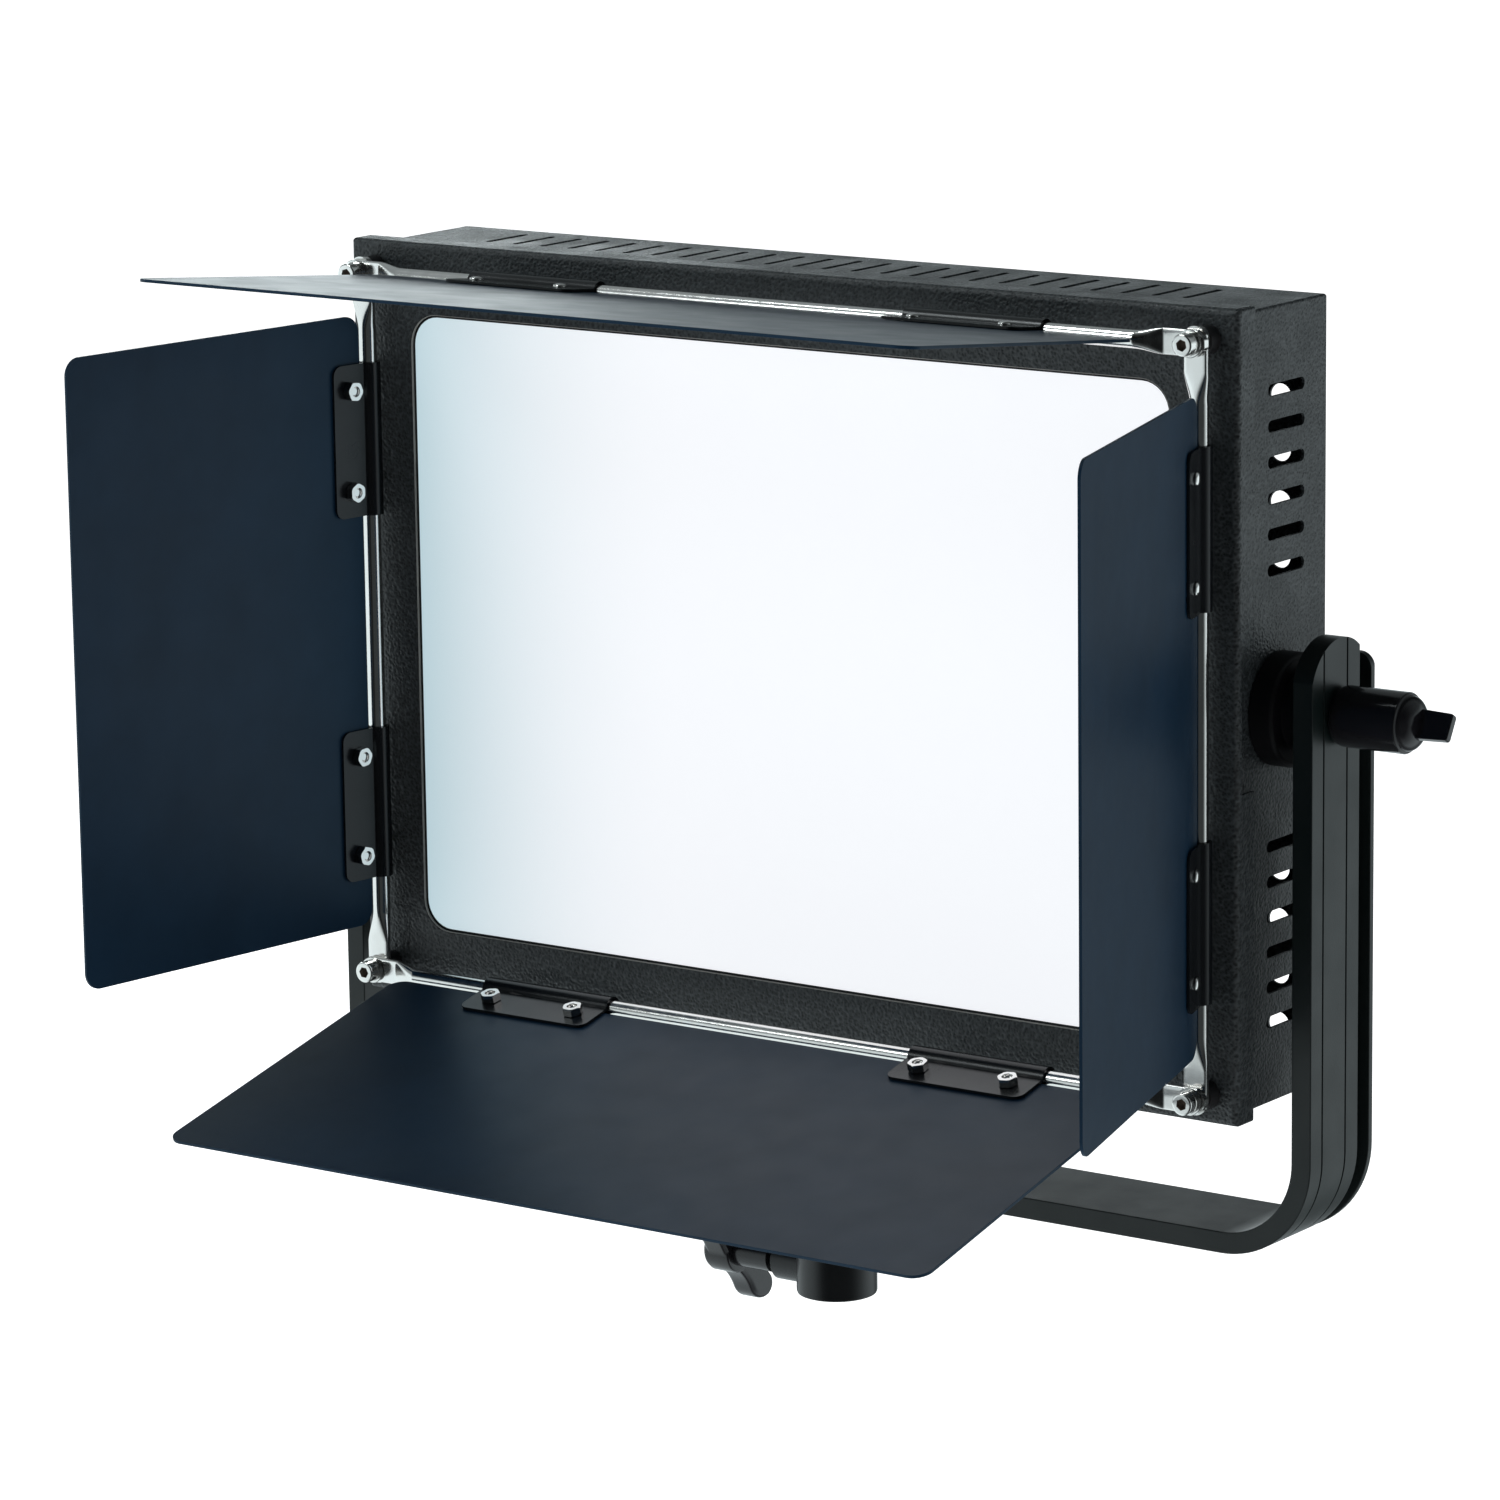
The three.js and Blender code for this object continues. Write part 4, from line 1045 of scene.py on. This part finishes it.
rebuilt("yoke", yoke_frame(), "yoke", yoke_black)
rebuilt("left_pivot_bolt", left_pivot_bolt(), "yoke", knob_black)
rebuilt("tilt_knob", placed(tilt_knob(), at(0, 0, pivot.z)), "tilt_knob", knob_black)
rebuilt("stand_receiver", stand_receiver(), "yoke", receiver_black)
rebuilt("receiver_knob", receiver_knob(), "receiver_knob", knob_black)


# ---- rear controls
plate_back = back + GAP + PLATE["thickness"]
control_z = pivot.z + CONTROL_Z


def control_plate():
    outline = rounded_rectangle(PLATE["width"], PLATE["height"], 4, 0, control_z)
    plate = along_y(outline, back + GAP, plate_back)
    return softened(cut(plate, together(*control_holes(back - 5, plate_back + 5))), 0.35, 2, 60)


def plate_screw():
    """Pan-head screw with a cross recess."""
    head = lathe([(0, -0.6), (2.6, -0.6), (2.6, 0.3), (2.3, 1.0), (1.5, 1.45), (0, 1.6)], 32)
    return cut(head, block(-1.5, 1.5, -0.28, 0.28, 0.7, 3), block(-0.28, 0.28, -1.5, 1.5, 0.7, 3))


def control_knob():
    """Skirted knob with a fluted grip, along +Z from the plate."""
    base = GAP
    body = lathe([
        (0, -10.5), (3, -10.5), (3, base), (10.7, base), (11, base + 0.4), (11, base + 2.4),
        (10.4, base + 3.2), (9.2, base + 4.2), (8.8, base + 5), (8.4, base + 13), (7.9, base + 13.8),
        (7.2, base + 14), (0, base + 14),
    ], 72)
    flutes = []
    for k in range(KNOB_FLUTES):
        angle = TURN * (k + 0.5) / KNOB_FLUTES
        flute = cylinder(0.75, base + 5.2, base + 16, 12)
        flutes.append(placed(flute, at(9.05 * math.cos(angle), 9.05 * math.sin(angle), 0)))
    return cut(body, together(*flutes))


def knob_pointer():
    return softened(block(-0.55, 0.55, 1.5, 7.2, GAP + 13.9, GAP + 14.5), 0.15, 1, 50)


def dial_marks():
    marks = []
    for k in range(DIAL["marks"]):
        mark = block(-0.35, 0.35, 13, 15.5, -0.02, 0.12)
        marks.append(placed(mark, spin(DIAL["first"] - DIAL["step"] * k, "Z")))
    return together(*marks)


def rocker_key():
    radius, half_angle, half_width = 9.5, 37.8, 10.3
    outline = [(-3, 0), *arc(0, 0, radius, -half_angle, half_angle, 16)]
    return softened(along_x(outline, -half_width, half_width), 0.4, 3, 40)


def rocker_bezel():
    z_half, x_half = 8.6, 12.4
    frame_outline = rounded_rectangle(2 * x_half, 2 * z_half, 1.2)
    rim = along_y(frame_outline, plate_back + 0.05, plate_back + 1.1)
    half_x, half_z = CONTROL_HOLES["switch"]
    opening = block(-half_x, half_x, plate_back - 2, plate_back + 4, -half_z, half_z)
    return softened(cut(rim, opening), 0.3, 2, 60)


def power_inlet():
    face = plate_back + GAP + 2.5
    flange = along_y(rounded_rectangle(40, 26, 4), plate_back + GAP, face)
    body = block(-13.6, 13.6, face - 22, face - 1, -9.6, 9.6)
    floor = face - 16
    cavity_outline = [(-12.2, -8), (12.2, -8), (12.2, 4.5), (8.5, 8), (-8.5, 8), (-12.2, 4.5)]
    cavity = along_y(filleted(cavity_outline, 1, 3), floor, face + 2)
    return softened(cut(join(flange, body), cavity), 0.35, 2, 60)


def inlet_pins():
    face = plate_back + GAP + 2.5
    pins = []
    for x, z in ((-7, -1.5), (0, 2.5), (7, -1.5)):
        pins.append(softened(block(x - 1, x + 1, face - 16.5, face - 7, z - 2, z + 2), 0.4, 2, 50))
    return together(*pins)


def add_controls():
    rebuilt("control_plate", control_plate(), "head", plate_black)
    for name in ("dimmer", "colour"):
        place = at(CONTROL_X[name], plate_back, control_z) @ Z_TO_BACK
        upright = spin(180, "Z")
        knob = placed(control_knob(), upright, place)
        rebuilt(f"{name}_knob", knob, f"{name}_knob", plastic_black)
        piece(f"look_{name}_pointer", placed(knob_pointer(), upright, place), f"{name}_knob",
              white_marks)
        piece(f"look_{name}_marks", placed(dial_marks(), upright, place), "head",
              white_marks)
    tilt = spin(-8, "X")
    rocker = placed(rocker_key(), tilt, at(*joint_place("power_rock")))
    rebuilt("power_switch", rocker, "power_switch", knob_black)
    piece("look_switch_bezel", placed(rocker_bezel(), at(CONTROL_X["switch"], 0, control_z)), "head",
          plastic_black)
    inlet_place = at(CONTROL_X["inlet"], 0, control_z)
    rebuilt("power_inlet", placed(power_inlet(), inlet_place), "head", plastic_black)
    piece("look_inlet_pins", placed(inlet_pins(), inlet_place), "head", nickel)
    screw_x = PLATE["width"] / 2 - PLATE_SCREW_INSET
    screw_z = PLATE["height"] / 2 - PLATE_SCREW_INSET
    screws = []
    for x in (-screw_x, screw_x):
        for z in (-screw_z, screw_z):
            screws.append(placed(plate_screw(), Z_TO_BACK, at(x, plate_back + 0.1, control_z + z)))
    piece("look_plate_screws", together(*screws), "head", clip_black)


add_controls()


# ---- floor, light and camera
FLOOR_DROP = 0.55                 # the lamp hangs clear of the floor, as on a stand
SKY = {"around": 1.0, "viewer": 0.04, "overhead": 0.25, "flag": 0.16, "tint": (0.86, 0.97, 1.0)}


def studio_floor():
    half = 30
    floor = bare_object("studio_floor", block(-half, half, -half, half, -0.05, 0))
    floor.location.z = cad_box[0].z - FLOOR_DROP
    material, nodes = new_material("floor_white")
    nodes.surface(
        Base_Color=nodes.colours(nodes.noise(0.6, 3), (0.90, 0.90, 0.90), (0.93, 0.93, 0.93)),
        Roughness=nodes.spread(nodes.noise(3, 3), 0.7, 0.8),
        Emission_Color=(1, 0.99, 0.985, 1),
        Emission_Strength=1.1,
    )
    floor.data.materials.append(material)
    floor.visible_glossy = False


def studio_sky():
    """White surroundings, darker overhead, on the viewer's side and in a band straight behind the lamp."""
    world = bpy.data.worlds.new("studio")
    bpy.context.scene.world = world
    world.use_nodes = True
    nodes = Nodes(world.node_tree)
    direction = nodes.add("ShaderNodeTexCoord").outputs["Generated"]
    toward = nodes.add("ShaderNodeVectorMath", {"operation": "DOT_PRODUCT"})
    nodes.feed(toward.inputs[0], direction)
    toward.inputs[1].default_value = (0.68, -0.73, 0.0)
    viewer_side = nodes.spread(toward.outputs["Value"], SKY["around"], SKY["viewer"], 0.1, 0.75)
    split = nodes.add("ShaderNodeSeparateXYZ", Vector=direction)
    overhead = nodes.spread(split.outputs["Z"], 1.0, SKY["overhead"], 0.06, 0.28)
    sideways = nodes.maths("ABSOLUTE", split.outputs["X"])
    flag = nodes.spread(sideways, SKY["flag"], 1.0, 0.12, 0.38)
    strength = nodes.maths("MULTIPLY", viewer_side, nodes.maths("MULTIPLY", overhead, flag))
    background = nodes.add("ShaderNodeBackground", Color=(*SKY["tint"], 1), Strength=strength)
    output = nodes.add("ShaderNodeOutputWorld")
    nodes.feed(output.inputs["Surface"], background.outputs["Background"])


def soft_light(name, place, aim, size, power, colour):
    light = bpy.data.lights.new(name, "AREA")
    light.shape = "RECTANGLE"
    light.size, light.size_y = size
    light.energy = power
    light.color = colour
    obj = new_object(name, light)
    obj.location = place
    obj.rotation_euler = (Vector(aim) - Vector(place)).to_track_quat("-Z", "Y").to_euler()


def photo_camera():
    """The viewpoint: in front, to the right and a little above."""
    azimuth, elevation, roll = math.radians(35.569), math.radians(11.743), math.radians(-0.772)
    distance, shift_right, shift_up = 2.534199, -0.011451, -0.031166
    aim = Vector((0, front, pivot.z)) * MM
    away = Vector((math.sin(azimuth) * math.cos(elevation), -math.cos(azimuth) * math.cos(elevation),
                   math.sin(elevation)))
    right = Vector((math.cos(azimuth), math.sin(azimuth), 0))
    up = away.cross(right)
    camera_right = right * math.cos(roll) + up * math.sin(roll)
    camera_up = up * math.cos(roll) - right * math.sin(roll)
    data = bpy.data.cameras.new("camera")
    data.lens = 158.913
    data.sensor_width = 36
    data.clip_end = 100
    camera = new_object("camera", data)
    camera.matrix_world = (Matrix.Translation(aim + away * distance + right * shift_right + up * shift_up)
                           @ axes(camera_right, camera_up, away))
    bpy.context.scene.camera = camera


studio_floor()
studio_sky()
soft_light("back_left", (-3.05, 2.45, 0.78), (0, 0, 0.40), (1.9, 0.62), 17, (0.9, 0.99, 1.0))
soft_light("front_left", (-1.2, -2.1, 1.75), (0, 0, 0.25), (0.9, 0.6), 9, (0.9, 0.98, 1.0))
soft_light("top_patch", (-1.0, -0.5, 2.4), (0, 0, 0.25), (0.55, 0.5), 9, (0.9, 0.98, 1.0))
photo_camera()
bpy.context.scene.view_settings.view_transform = "Standard"
